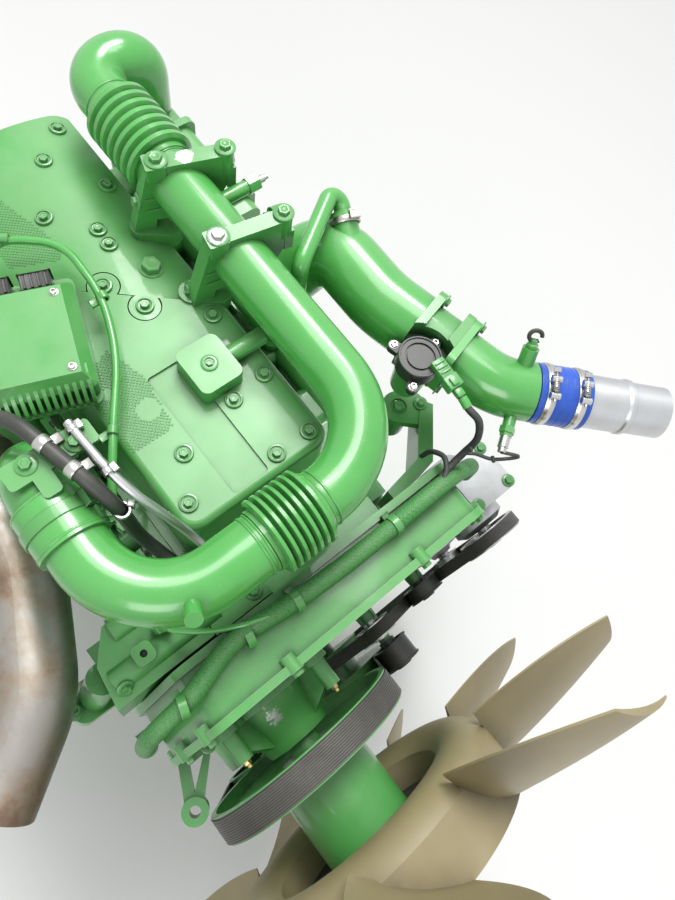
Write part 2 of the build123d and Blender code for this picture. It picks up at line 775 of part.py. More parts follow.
# Blade sections: radius, chord, pitch, camber
blade_stations = (
    (fan_hub_radius - fan_hub_wall / 2, fan_root_chord, fan_root_pitch, 16),
    (fan_radius - 70, fan_belly_chord, fan_belly_pitch, 15),
    (fan_radius, fan_tip_chord, fan_tip_pitch, 10),
)
with BuildPart() as fan_blade:
    for station in blade_stations:
        add(blade_section(*station))
    loft()
with BuildPart() as fan:
    with BuildSketch(Plane(origin=(0, fan_axis_y, fan_axis_z), x_dir=(1, 0, 0), z_dir=(0, -1, 0))):
        with BuildLine():
            crest = (fan_hub_bore + fan_hub_radius) / 2
            bore_wall = fan_hub_bore + seat_gap
            Line((fan_hub_rear + 20, bore_wall), (fan_hub_front, bore_wall))
            Line((fan_hub_front, bore_wall), (fan_hub_front, bore_wall + fan_hub_wall))
            Line((fan_hub_front, bore_wall + fan_hub_wall), (fan_hub_rear + 40, bore_wall + fan_hub_wall))
            ThreePointArc(
                (fan_hub_rear + 40, bore_wall + fan_hub_wall),
                (fan_hub_rear + fan_hub_wall, crest + 4),
                (fan_hub_rear + 50, fan_hub_radius - fan_hub_wall),
            )
            Line((fan_hub_rear + 50, fan_hub_radius - fan_hub_wall), (fan_hub_front, fan_hub_radius - fan_hub_wall))
            Line((fan_hub_front, fan_hub_radius - fan_hub_wall), (fan_hub_front, fan_hub_radius))
            Line((fan_hub_front, fan_hub_radius), (fan_hub_rear + 34, fan_hub_radius))
            ThreePointArc(
                (fan_hub_rear + 34, fan_hub_radius), (fan_hub_rear, crest + 4), (fan_hub_rear + 20, bore_wall)
            )
        make_face()
    revolve(axis=Axis((0, fan_axis_y, fan_axis_z), (1, 0, 0)))
    for blade in range(fan_blade_count):
        add(fan_blade.part.rotate(Axis((0, fan_axis_y, fan_axis_z), (1, 0, 0)), 360 / fan_blade_count * blade))
save(fan, "fan")

# Small pulleys on plain shafts: plane, hub rear, hub front
for name, centre_y, centre_z, radius, side in accessory_pulleys[1:]:
    small_pulley = turn_pulley(
        accessory_belt_plane, (centre_y, centre_z), radius, accessory_belt_width,
        accessory_belt_plane - accessory_hub_rear, accessory_belt_plane + 20, 15.0,
    )
    save(small_pulley, name)
for name, centre_y, centre_z, radius, side in (fan_belt_pulleys[1], fan_belt_pulleys[3]):
    small_pulley = turn_pulley(
        fan_belt_plane, (centre_y, centre_z), radius, fan_belt_width,
        fan_belt_plane - fan_belt_hub_rear, fan_belt_plane + 30, 18.0,
    )
    save(small_pulley, name)

# Exhaust gas pipe: crossover bend with its sensor boss, two bellows, side and rear pipes
sensor_boss_radius = 11.0
with BuildPart() as crossover_pipe:
    with BuildLine() as crossover_route:
        FilletPolyline(
            (gas_start, gas_right, gas_height),
            (gas_front, gas_right, gas_height),
            (gas_front, front_bellows_right, gas_height),
            radius=gas_right_bend,
        )
    with BuildSketch(Plane.YZ.offset(gas_start)):
        with Locations((gas_right, gas_height)):
            Circle(gas_radius)
            Circle(gas_radius - gas_wall, mode=Mode.SUBTRACT)
    sweep(path=crossover_route.line)
    with BuildSketch(Plane.YZ.offset(gas_start)):
        with Locations((gas_right, gas_height)):
            Circle(gas_collar_radius)
            Circle(gas_radius - gas_wall, mode=Mode.SUBTRACT)
    extrude(amount=gas_collar_length)
    with BuildSketch(Plane(origin=(gas_front - 10, gas_right + 78, gas_height), z_dir=(0.62, -0.30, 0.72))):
        Circle(sensor_boss_radius)
    extrude(amount=gas_radius + 26)
    with BuildSketch(Plane(origin=(gas_front - 10, gas_right + 78, gas_height), z_dir=(0.62, -0.30, 0.72))):
        Circle(sensor_boss_radius + 1)
    extrude(amount=gas_radius - gas_wall - 3, mode=Mode.SUBTRACT)
save(crossover_pipe, "crossover_pipe")


# Bellows: origin, direction, length
bellows_places = (
    ((gas_front, front_bellows_right, gas_height), (0, 1, 0), front_bellows_left - front_bellows_right),
    ((rear_bellows_front, gas_left, gas_height), (-1, 0, 0), rear_bellows_length),
)
with BuildPart() as gas_bellows:
    for origin, direction, length in bellows_places:
        fold = length / (bellows_folds + 1)
        side = Vector(direction).cross(Vector(0, 0, 1))
        with BuildSketch(Plane(origin=origin, x_dir=direction, z_dir=side)):
            with BuildLine():
                outline = [(0, gas_radius - gas_wall), (0, gas_radius + 3), (fold * 0.55, gas_radius + 3)]
                for index in range(bellows_folds):
                    start = fold * (index + 0.6)
                    outline += [
                        (start, bellows_radius - 6),
                        (start + fold * 0.2, bellows_radius),
                        (start + fold * 0.6, bellows_radius),
                        (start + fold * 0.8, bellows_radius - 6),
                        (start + fold * 0.9, gas_radius + 6),
                    ]
                outline += [(length, gas_radius + 3), (length, gas_radius - gas_wall)]
                Polyline(*outline, close=True)
            make_face()
        revolve(axis=Axis(origin, direction))
save(gas_bellows, "gas_bellows")

# Side pipe with the pressure port between its two brackets
port_x = rear_bellows_front + 88.0
port_length = 46.0
with BuildPart() as side_pipe:
    add(bent_tube(
        ((gas_front, front_bellows_left, gas_height), (gas_front, gas_left, gas_height),
         (rear_bellows_front, gas_left, gas_height)),
        gas_left_bend, gas_radius, gas_radius - gas_wall,
    ).part)
    with BuildSketch(Plane.XZ.offset(-gas_left - gas_radius + 3)):
        with Locations((port_x, gas_height)):
            Circle(sensor_boss_radius)
    extrude(amount=-port_length)
    with BuildSketch(Plane.XZ.offset(-gas_left - gas_radius + 3 - port_length)):
        with Locations((port_x, gas_height)):
            RegularPolygon(radius=14, side_count=6)
    extrude(amount=-20)
save(side_pipe, "side_pipe")

cooler_y = 262.0
cooler_z = head_top + 90.0
cooler_side = 84.0
cooler_rear = block_rear + 32.0
cooler_length = 330.0
cooler_inlet_x = cooler_rear + 52.0
rear_bend = 49.0
rear_pipe = bent_tube(
    ((rear_bellows_rear, gas_left, gas_height), (cooler_inlet_x, gas_left, gas_height),
     (cooler_inlet_x, cooler_y, gas_height), (cooler_inlet_x, cooler_y, cooler_z + cooler_side / 2 + seat_gap)),
    rear_bend, gas_radius, gas_radius - gas_wall,
)
save(rear_pipe, "rear_pipe")

# Exhaust manifold: log with one flanged branch for each cylinder
branch_radius = 24.0
port_flange_thickness = 12.0
with BuildPart() as exhaust_manifold:
    with BuildSketch(Plane.YZ.offset(block_rear + 40)):
        with Locations((manifold_y, manifold_z)):
            Circle(manifold_radius)
    extrude(amount=block_length - 80)
    for cylinder in range(cylinder_count):
        with BuildSketch(Plane.XZ.offset(block_half_width)):
            with Locations((cylinder_x(cylinder), manifold_z)):
                RectangleRounded(84, 62, 16)
        extrude(amount=port_flange_thickness)
        with BuildSketch(Plane.XZ.offset(block_half_width)):
            with Locations((cylinder_x(cylinder), manifold_z)):
                Circle(branch_radius)
        extrude(amount=-block_half_width - manifold_y)
    for joint in (1, 3):
        with BuildSketch(Plane.YZ.offset(cylinder_x(joint) + cylinder_pitch / 2 - 14)):
            with Locations((manifold_y, manifold_z)):
                Circle(manifold_radius + 7)
        extrude(amount=28)
save(exhaust_manifold, "exhaust_manifold")

# Gas riser: elbow from the manifold's top up to the crossover pipe
with BuildPart() as gas_riser:
    add(bent_tube(
        ((gas_riser_x, gas_riser_foot, manifold_z + 10),
         (gas_riser_x, gas_right, gas_height), (gas_start - seat_gap, gas_right, gas_height)),
        62, gas_radius,
    ).part)
    with BuildSketch(Plane.XY.offset(manifold_z + manifold_radius - 6)):
        with Locations((gas_riser_x, gas_riser_foot - 5)):
            RectangleRounded(116, 96, 18)
    extrude(amount=20)
    add(exhaust_manifold.part, mode=Mode.SUBTRACT)
save(gas_riser, "gas_riser")

# Turbocharger: turbine volute, bearing housing and compressor cover on one axis, with
# the turbine's foot on the manifold and the compressor's outlet
turbo_axis = Axis((0, turbo_y, turbo_z), (1, 0, 0))
with BuildPart() as turbocharger:
    with BuildSketch(Plane(origin=(turbo_x, turbo_y, turbo_z), x_dir=(1, 0, 0), z_dir=(0, -1, 0))):
        with BuildLine():
            Polyline(
                (-150, 30), (-150, 46), (-96, 50), (-92, 84), (-60, 92), (-34, 84), (-26, 44),
                (26, 40), (34, 74), (62, 84), (92, 74), (100, 52), (118, 50), (118, 60), (130, 60),
                (130, 36), (60, 30), (20, 0), (-60, 0), (-90, 30), close=True,
            )
        make_face()
    revolve(axis=turbo_axis)
    with BuildSketch(Plane.XY.offset(manifold_z + manifold_radius + 2)):
        with Locations((turbo_x + 62, turbo_y + 30)):
            RectangleRounded(90, 70, 10)
    extrude(amount=turbo_z - manifold_z - manifold_radius - 40)
    with BuildSketch(Plane.XY.offset(turbo_z)):
        with Locations((turbo_x - 63, turbo_y - 56)):
            Circle(30)
    extrude(amount=-120)
save(turbocharger, "turbocharger")

elbow_radius = 60.0
elbow_wall = 3.5
exhaust_elbow = bent_tube(
    ((turbo_x + 130 + seat_gap, turbo_y, turbo_z), (turbo_x + 230, turbo_y, turbo_z),
     (turbo_x + 400, turbo_y - 84, turbo_z - 4), (turbo_x + 480, turbo_y - 200, turbo_z - 16)),
    (190, 150), elbow_radius, elbow_radius - elbow_wall,
)
save(exhaust_elbow, "exhaust_elbow")

# Gas cooler beside the head, with end flanges and two feet on the intake manifold
with BuildPart() as gas_cooler:
    with BuildSketch(Plane.YZ.offset(cooler_rear)):
        with Locations((cooler_y, cooler_z)):
            RectangleRounded(cooler_side, cooler_side, 20)
    extrude(amount=cooler_length)
    for flange_plane in (cooler_rear + 112, cooler_rear + cooler_length - 40):
        with BuildSketch(Plane.YZ.offset(flange_plane)):
            with Locations((cooler_y, cooler_z)):
                RectangleRounded(cooler_side + 16, cooler_side + 16, 16)
        extrude(amount=14)
    with BuildSketch(Plane.XY.offset(intake_top + seat_gap)):
        with Locations((cooler_rear + 150, cooler_y - 6), (cooler_rear + 250, cooler_y - 6)):
            RectangleRounded(26, 44, 6)
    extrude(amount=cooler_z - cooler_side / 2 - intake_top + 4)
save(gas_cooler, "gas_cooler")

# Intake manifold: plenum along the head on six runners, with a cross rib between each two
# and the boss of the front bracket
intake_runner_depth = 40.0
bracket_foot = (block_front - 129.0, 309.0)
with BuildPart() as intake_manifold:
    with BuildSketch(Plane.YZ.offset(block_rear + 30)):
        with Locations(((block_half_width + intake_runner_depth - 8 + intake_outer) / 2, (intake_bottom + intake_top) / 2)):
            RectangleRounded(
                intake_outer - block_half_width - intake_runner_depth + 8, intake_top - intake_bottom, 24
            )
    extrude(amount=intake_length)
    with BuildSketch(Plane.XZ.offset(-block_half_width)):
        for cylinder in range(cylinder_count):
            runner_x = min(cylinder_x(cylinder), block_rear + 30 + intake_length - 40)
            with Locations((runner_x, (intake_bottom + intake_top) / 2)):
                RectangleRounded(80, 78, 18)
    extrude(amount=-intake_runner_depth)
    with BuildSketch(Plane.XZ.offset(-block_half_width)):
        with Locations((block_rear + 30 + intake_length / 2, (intake_bottom + intake_top) / 2)):
            RectangleRounded(intake_length, 84, 12)
    extrude(amount=-12)
    with BuildSketch(Plane.XY.offset(intake_top)):
        with Locations(bracket_foot):
            Circle(27)
        with Locations((bracket_foot[0] - 18, bracket_foot[1] - 40)):
            Rectangle(60, 60)
    extrude(amount=-58)
save(intake_manifold, "intake_manifold")

# Charge air path: mixing pipe, throttle body, upright actuator, elbow, hose and tube
throttle_rear = Vector(block_front - 188.0, 350.0, charge_height)
throttle_length = 70.0
charge_along = Vector(math.cos(math.radians(charge_turn)), math.sin(math.radians(charge_turn)), 0)
charge_across = Vector(-math.sin(math.radians(charge_turn)), math.cos(math.radians(charge_turn)), 0)
hose_along = Vector(math.cos(math.radians(hose_turn)), math.sin(math.radians(hose_turn)), 0)
mixing_radius = 56.0
mixing_bend = 70.0
mixing_foot = Vector(block_front - 418.0, 248.0, intake_top + seat_gap)
mixing_crook = Vector(block_front - 396.0, 334.0, charge_height)
neck_mouth = Vector(block_front - 398.0, 358.0, charge_height + 50)
neck_along = Vector(0.862, -0.359, -0.359)
neck_radius = 21.0
with BuildPart() as mixing_pipe:
    add(bent_tube(
        (mixing_foot, mixing_foot + Vector(0, 0, 86), mixing_crook, throttle_rear - charge_along * 70, throttle_rear),
        (mixing_bend, mixing_bend, 200), mixing_radius,
    ).part)
    with BuildSketch(Plane.XY.offset(mixing_foot.Z)):
        with Locations((mixing_foot.X, mixing_foot.Y)):
            RectangleRounded(140, 116, 22)
    extrude(amount=13)
    with BuildSketch(Plane(origin=neck_mouth, z_dir=neck_along)):
        Circle(neck_radius)
    extrude(amount=54)
    with BuildSketch(Plane(origin=neck_mouth + neck_along * 4, z_dir=neck_along)):
        Circle(neck_radius + 3)
    extrude(amount=7)
save(mixing_pipe, "mixing_pipe")

# Gas pipe from the cooler under the side pipe, up and round into the mixing pipe's neck
gas_pipe_radius = 14.0
neck_run = 52.0
cooler_front = Vector(cooler_rear + cooler_length + seat_gap, cooler_y - 10, cooler_z)
gas_pipe_run = bent_tube(
    (cooler_front, cooler_front + Vector(44, 0, 0), Vector(cooler_front.X + 88, 176, cooler_z + 12),
     Vector(mixing_crook.X + 52, 172, cooler_z + 18), Vector(mixing_crook.X + 70, 208, charge_height - 6),
     Vector(mixing_crook.X + 44, 234, charge_height + 72), neck_mouth - neck_along * (neck_run + seat_gap),
     neck_mouth - neck_along * seat_gap),
    (24, 24, 30, 22, 26, 16), gas_pipe_radius,
)
with BuildPart() as gas_pipe:
    add(gas_pipe_run.part)
    add(mixing_pipe.part, mode=Mode.SUBTRACT)
save(gas_pipe, "gas_pipe")

# Throttle body with an eared flange at each end and the gear case below its actuator
actuator_place = Vector(block_front - 134.0, 294.0, charge_height + 20)
actuator_radius = 34.0
actuator_height = 27.0
actuator_lug_reach = 44.0
actuator_lug_radius = 9.0
actuator_lug_angles = (196, 100, -51)
with BuildPart() as throttle_actuator:
    with BuildSketch(Plane.XY.offset(actuator_place.Z + seat_gap)):
        with Locations((actuator_place.X, actuator_place.Y)):
            Circle(actuator_radius)
            for lug_angle in actuator_lug_angles:
                with PolarLocations(actuator_lug_reach, 1, lug_angle):
                    Circle(actuator_lug_radius)
                with PolarLocations(actuator_lug_reach / 2, 1, lug_angle):
                    Rectangle(actuator_lug_reach, 2 * actuator_lug_radius)
    extrude(amount=12)
    with BuildSketch(Plane.XY.offset(actuator_place.Z + seat_gap)):
        with Locations((actuator_place.X, actuator_place.Y)):
            Circle(actuator_radius)
    extrude(amount=actuator_height)
    with BuildSketch(Plane.XY.offset(actuator_place.Z + seat_gap + actuator_height)):
        with Locations((actuator_place.X, actuator_place.Y)):
            Circle(24)
            Circle(20, mode=Mode.SUBTRACT)
    extrude(amount=-3, mode=Mode.SUBTRACT)
save(throttle_actuator, "throttle_actuator")

throttle_plane = Plane(origin=throttle_rear, x_dir=charge_across, z_dir=charge_along)
with BuildPart() as throttle_body:
    with BuildSketch(throttle_plane.offset(seat_gap)):
        RectangleRounded(110, 110, 18)
    extrude(amount=14)
    with BuildSketch(throttle_plane.offset(seat_gap)):
        Circle(50)
    extrude(amount=throttle_length)
    with BuildSketch(throttle_plane.offset(throttle_length - 14)):
        RectangleRounded(106, 106, 18)
    extrude(amount=14)
    with BuildSketch(Plane.XY.offset(actuator_place.Z)):
        with Locations((actuator_place.X, actuator_place.Y)):
            Circle(actuator_radius - 4)
    extrude(amount=-64, taper=4)
    with BuildSketch(Plane.XY.offset(actuator_place.Z)):
        with Locations((actuator_place.X - 4, actuator_place.Y + 28)):
            Rectangle(52, 60)
    extrude(amount=-44)
    with BuildSketch(Plane.XY.offset(actuator_place.Z)):
        with Locations((actuator_place.X, actuator_place.Y)):
            Circle(actuator_lug_reach + actuator_lug_radius + 1)
    extrude(amount=60, mode=Mode.SUBTRACT)
save(throttle_body, "throttle_body")

# Elbow from the throttle to the hose, with its flange, end bead and two sensor bosses
hose_radius = 48.0
spigot_radius = 43.0
spigot_wall = 4.0
spigot_length = 34.0
elbow_run = 88.0
elbow_start = throttle_rear + charge_along * (throttle_length + seat_gap)
elbow_corner = elbow_start + charge_along * elbow_run
elbow_end = elbow_corner + hose_along * elbow_run
elbow_plane = Plane(origin=elbow_start, x_dir=charge_across, z_dir=charge_along)
elbow_bend = 250.0
with BuildPart() as inlet_elbow:
    add(bent_tube((elbow_start, elbow_corner, elbow_end), elbow_bend, spigot_radius, spigot_radius - spigot_wall).part)
    add(bent_tube(
        (elbow_start, elbow_corner, elbow_end - hose_along * spigot_length), elbow_bend / 2,
        spigot_radius + 5, spigot_radius - spigot_wall,
    ).part)
    with BuildSketch(elbow_plane):
        RectangleRounded(104, 104, 18)
        Circle(spigot_radius - spigot_wall, mode=Mode.SUBTRACT)
    extrude(amount=13)
    port_place = elbow_corner + hose_along * 36
    with BuildSketch(Plane(origin=port_place + Vector(-20, 14, 32), z_dir=(-0.4, 0.4, 0.82))):
        Circle(13)
    extrude(amount=34)
    with BuildSketch(Plane(origin=port_place + Vector(20, -30, -6), z_dir=(0.55, -0.82, -0.12))):
        Circle(10)
    extrude(amount=32)
save(inlet_elbow, "inlet_elbow")

hose_lap = 30.0
hose_length = 82.0
tube_from_elbow = 16.0
tube_length = 170.0
tube_wall = 2.5
tube_mouth_radius = 41.5
tube_mouth_length = 60.0
with BuildPart() as charge_hose:
    with BuildSketch(Plane(origin=elbow_end - hose_along * hose_lap, z_dir=hose_along)):
        Circle(hose_radius)
        Circle(spigot_radius + seat_gap, mode=Mode.SUBTRACT)
    extrude(amount=hose_length)
save(charge_hose, "charge_hose")

# Aluminium tube: full size under the hose, then a bead and the sized mouth
tube_plane = Plane(origin=elbow_end + hose_along * tube_from_elbow, x_dir=hose_along, z_dir=(0, 0, 1))
with BuildPart() as charge_tube:
    with BuildSketch(tube_plane):
        with BuildLine():
            mouth = tube_length - tube_mouth_length
            Polyline(
                (0, spigot_radius - tube_wall),
                (0, spigot_radius),
                (mouth - 12, spigot_radius),
                (mouth - 8, spigot_radius + 2),
                (mouth - 2, spigot_radius + 2),
                (mouth, tube_mouth_radius),
                (tube_length, tube_mouth_radius),
                (tube_length, tube_mouth_radius - tube_wall),
                (mouth, tube_mouth_radius - tube_wall),
                (mouth - 12, spigot_radius - tube_wall),
                close=True,
            )
        make_face()
    revolve(axis=Axis(tube_plane.origin, hose_along))
save(charge_tube, "charge_tube")

# Saddle brackets over the side pipe: pad and leaning leg on the rocker cover's edge, arm
# across the pipe, far leg, isolator lobe: x at the pad, skew in degrees, foot x, foot y
saddle_pad_y = gas_left - 30.0
saddle_places = (
    (415.0, 18.0, 406.0, 104.0),
    (568.0, 10.0, 549.0, 97.0),
)
saddle_half_width = 12.0
saddle_top = gas_radius + 10.0
foot_radius = 20.0
rod_radius = 6.0
isolator_radius = 18.0
with BuildPart() as pipe_brackets:
    for pad_x, skew, foot_x, foot_y in saddle_places:
        lean = math.radians(skew)
        across = Vector(math.sin(lean), math.cos(lean), 0)
        beside = Vector(-math.cos(lean), math.sin(lean), 0)
        middle = Vector(pad_x + (gas_left - saddle_pad_y) * math.tan(lean), gas_left, gas_height)
        side_plane = Plane(origin=middle, x_dir=across, z_dir=across.cross(Vector(0, 0, 1)))
        with BuildSketch(side_plane):
            with BuildLine():
                Polyline(
                    (-44, saddle_top), (82, saddle_top), (84, 14), (64, -30), (38, -gas_radius - 14),
                    (-40, -gas_radius - 14), (-48, -gas_over_cover - 24), (-80, -gas_over_cover - 24),
                    (-76, -gas_over_cover + 14), (-54, 16), close=True,
                )
            make_face()
        extrude(amount=saddle_half_width, both=True)
        pad_centre = middle - across * 32
        with BuildSketch(Plane(origin=pad_centre + Vector(0, 0, saddle_top + 2), x_dir=across, z_dir=(0, 0, 1))):
            RectangleRounded(30, 30, 3)
        extrude(amount=-24)
        with BuildSketch(Plane(origin=middle + across * 74 + Vector(0, 0, saddle_top + 2), x_dir=across, z_dir=(0, 0, 1))):
            Circle(14)
        extrude(amount=-40)
        foot = Vector(foot_x, foot_y, cover_top - cover_crown)
        with BuildSketch(Plane.XY.offset(foot.Z)):
            with Locations((foot_x, foot_y)):
                Circle(foot_radius)
            with BuildLine():
                Polyline(
                    (foot_x - 4, foot_y + 18), (foot_x + 14, foot_y - 14), (foot_x + 44, foot_y + 30),
                    (foot_x + 40, foot_y + 46), (foot_x + 10, foot_y + 40), close=True,
                )
            make_face()
        extrude(amount=cover_crown + 5)
        rod_foot = Vector(foot_x, foot_y, cover_top)
        rod_head = pad_centre + beside * 13 + Vector(0, 0, saddle_top - 10)
        with BuildSketch(Plane(origin=rod_foot, z_dir=rod_head - rod_foot)):
            Circle(rod_radius)
        extrude(amount=(rod_head - rod_foot).length)
        lobe_centre = middle + across * 88 + beside * 24 + Vector(0, 0, 6)
        lobe_plane = Plane(origin=lobe_centre, x_dir=beside, z_dir=across)
        with BuildSketch(lobe_plane):
            Circle(isolator_radius + 5)
            with Locations((-20, 0)):
                Rectangle(34, 40)
        extrude(amount=-14)
        with BuildSketch(lobe_plane.offset(-14)):
            Circle(isolator_radius)
        extrude(amount=-10)
        with BuildSketch(lobe_plane.offset(-24)):
            Circle(isolator_radius - 4)
        extrude(amount=-4)
        with BuildSketch(lobe_plane.offset(-28)):
            Circle(isolator_radius - 1)
        extrude(amount=-8)
    with BuildSketch(Plane.YZ.offset(rear_bellows_front - 60)):
        with Locations((gas_left, gas_height)):
            Circle(gas_radius + seat_gap)
    extrude(amount=300, mode=Mode.SUBTRACT)
    add(rear_rocker_cover.part, mode=Mode.SUBTRACT)
    add(front_rocker_cover.part, mode=Mode.SUBTRACT)
save(pipe_brackets, "pipe_brackets")

# Engine control unit on a plate above the rear rocker cover: bevelled lid and end fins
unit_turn = math.radians(-20)
unit_along = Vector(math.cos(unit_turn), math.sin(unit_turn), 0)
unit_plane = Plane(origin=(cover_joint_x - 16.5, -50, cover_top + 30), x_dir=unit_along, z_dir=(0, 0, 1))
unit_length = 183.0
unit_width = 150.0
unit_height = 46.0
unit_wall_height = 26.0
unit_fin_reach = 13.0
unit_fin_count = 14
unit_fin_width = 5.0
with BuildPart() as control_unit:
    with BuildSketch(unit_plane.offset(seat_gap)):
        with Locations(((unit_length - unit_fin_reach) / 2, -unit_width / 2)):
            RectangleRounded(unit_length - unit_fin_reach, unit_width, 8)
    extrude(amount=unit_wall_height)
    with BuildSketch(unit_plane.offset(seat_gap + unit_wall_height)):
        with Locations(((unit_length - unit_fin_reach) / 2, -unit_width / 2)):
            RectangleRounded(unit_length - unit_fin_reach, unit_width, 8)
    extrude(amount=unit_height - unit_wall_height, taper=38)
    for fin in range(unit_fin_count):
        fin_y = -unit_width + 8 + (unit_width - 16 - unit_fin_width) * fin / (unit_fin_count - 1)
        fin_plane = Plane(
            origin=unit_plane.from_local_coords((unit_length - unit_fin_reach, fin_y, seat_gap)),
            x_dir=unit_along, z_dir=unit_along.cross(Vector(0, 0, 1)),
        )
        with BuildSketch(fin_plane):
            with BuildLine():
                Polyline((-30, 4), (unit_fin_reach, 4), (unit_fin_reach, 12))
                ThreePointArc((unit_fin_reach, 12), (2, 28), (-16, unit_height - 6))
                Polyline((-16, unit_height - 6), (-30, unit_height - 6), (-30, 4))
            make_face()
        extrude(amount=-unit_fin_width)
save(control_unit, "control_unit")

with BuildPart() as control_unit_bracket:
    with BuildSketch(unit_plane):
        with Locations((unit_length / 2 - 12, -unit_width / 2)):
            RectangleRounded(unit_length + 24, unit_width, 10)
    extrude(amount=-5)
    with BuildSketch(unit_plane.offset(-3)):
        with Locations((22, -24), (unit_length - 34, -18)):
            Circle(11)
    extrude(amount=-60)
    add(front_rocker_cover.part, mode=Mode.SUBTRACT)
    add(rear_rocker_cover.part, mode=Mode.SUBTRACT)
save(control_unit_bracket, "control_unit_bracket")

# Starter motor beside the crankcase with its nose on the flywheel housing
starter_body_radius = 44.0
with BuildPart() as starter_motor:
    with BuildSketch(Plane(origin=(housing_depth + seat_gap, starter_y, starter_z), x_dir=(1, 0, 0), z_dir=(0, -1, 0))):
        with BuildLine():
            Polyline(
                (0, 0), (0, 51), (14, 51), (22, starter_body_radius - 4), (84, starter_body_radius - 4),
                (88, starter_body_radius), (214, starter_body_radius), (220, starter_body_radius - 5),
                (250, starter_body_radius - 7), (250, 0), close=True,
            )
        make_face()
    revolve(axis=Axis((0, starter_y, starter_z), (1, 0, 0)))
    with BuildSketch(Plane.YZ.offset(housing_depth + 60)):
        with Locations((starter_y - 14, starter_z + 62)):
            Circle(26)
            Rectangle(30, 50)
    extrude(amount=150)
save(starter_motor, "starter_motor")

# Oil cooler housing on the crankcase side, with ribs and the hanging oil filter
filter_x = block_rear + 413.0
cooler_plate_depth = 108.0
oil_cooler_bottom = -65.0
with BuildPart() as oil_cooler:
    with BuildSketch(Plane.XZ.offset(skirt_half_width)):
        with Locations((filter_x, oil_cooler_bottom + 60)):
            RectangleRounded(300, 120, 20)
    extrude(amount=cooler_plate_depth - 10)
    fillet(oil_cooler.faces().sort_by(Axis.Y)[0].edges(), 12)
    with BuildSketch(Plane.XZ.offset(skirt_half_width)):
        for rib in range(5):
            with Locations((filter_x - 110 + 55 * rib, oil_cooler_bottom + 60)):
                Rectangle(8, 112)
    extrude(amount=cooler_plate_depth)
    with BuildSketch(Plane.XY.offset(oil_cooler_bottom)):
        with Locations((filter_x, -skirt_half_width - 67)):
            Circle(46)
    extrude(amount=60)
    add(cylinder_block.part, mode=Mode.SUBTRACT)
save(oil_cooler, "oil_cooler")
with BuildPart() as oil_filter:
    with BuildSketch(Plane.XY.offset(oil_cooler_bottom - seat_gap)):
        with Locations((filter_x, -skirt_half_width - 67)):
            Circle(52)
    extrude(amount=-170)
    fillet(oil_filter.faces().sort_by(Axis.Z)[0].edges(), 14)
save(oil_filter, "oil_filter")

# Fuel filters on a header at the intake side
header_x = block_rear + 428.0
header_y = skirt_half_width + rib_depth + 46
header_bottom = deck_height - 190.0
filter_length = 180.0
with BuildPart() as fuel_filter_header:
    with BuildSketch(Plane.XY.offset(header_bottom)):
        with Locations((header_x, header_y + 4)):
            RectangleRounded(250, 84, 20)
    extrude(amount=44)
    with BuildSketch(Plane.XY.offset(header_bottom + 10)):
        with Locations((header_x, (header_y + block_half_width) / 2 + 8)):
            Rectangle(120, header_y - block_half_width - 16)
    extrude(amount=30)
    add(cylinder_block.part, mode=Mode.SUBTRACT)
save(fuel_filter_header, "fuel_filter_header")
with BuildPart() as fuel_filters:
    with BuildSketch(Plane.XY.offset(header_bottom - seat_gap)):
        with Locations((header_x - 58, header_y + 14), (header_x + 58, header_y + 14)):
            Circle(43)
    extrude(amount=-filter_length)
    fillet(fuel_filters.faces().group_by(Axis.Z)[0].edges(), 12)
save(fuel_filters, "fuel_filters")

# High pressure fuel pump behind the gear housing: cam case, pumping head and inlet block
pump_y = 256.0
pump_z = 180.0
with BuildPart() as fuel_pump:
    with BuildSketch(Plane(origin=(block_front - seat_gap, pump_y, pump_z), x_dir=(-1, 0, 0), z_dir=(0, 1, 0))):
        with BuildLine():
            Polyline(
                (0, 0), (0, 52), (16, 52), (24, 42), (104, 42), (110, 34), (130, 30), (130, 0), close=True
            )
        make_face()
    revolve(axis=Axis((0, pump_y, pump_z), (1, 0, 0)))
    with BuildSketch(Plane.YZ.offset(block_front - 46)):
        with Locations((pump_y, pump_z + 54)):
            RectangleRounded(56, 64, 8)
    extrude(amount=-52)
save(fuel_pump, "fuel_pump")

# Alternator: end shields, stator ring and its arm, on the gear housing's intake side
alternator_y, alternator_z = accessory_pulleys[1][1:3]
accessory_front = accessory_belt_plane - accessory_hub_rear - seat_gap
with BuildPart() as alternator:
    with BuildSketch(Plane(origin=(accessory_front, alternator_y, alternator_z), x_dir=(-1, 0, 0), z_dir=(0, 1, 0))):
        with BuildLine():
            Polyline(
                (0, 0), (0, 24), (8, 30), (12, 58), (20, 66), (48, 66), (48, 62), (96, 62), (96, 66),
                (128, 66), (138, 58), (150, 54), (150, 0), close=True,
            )
        make_face()
    revolve(axis=Axis((0, alternator_y, alternator_z), (1, 0, 0)))
    with BuildSketch(Plane.YZ.offset(gear_front - 20)):
        with Locations((alternator_y - 54, alternator_z + 20)):
            Rectangle(100, 70)
    extrude(amount=-60)
    add(gear_housing.part, mode=Mode.SUBTRACT)
save(alternator, "alternator")

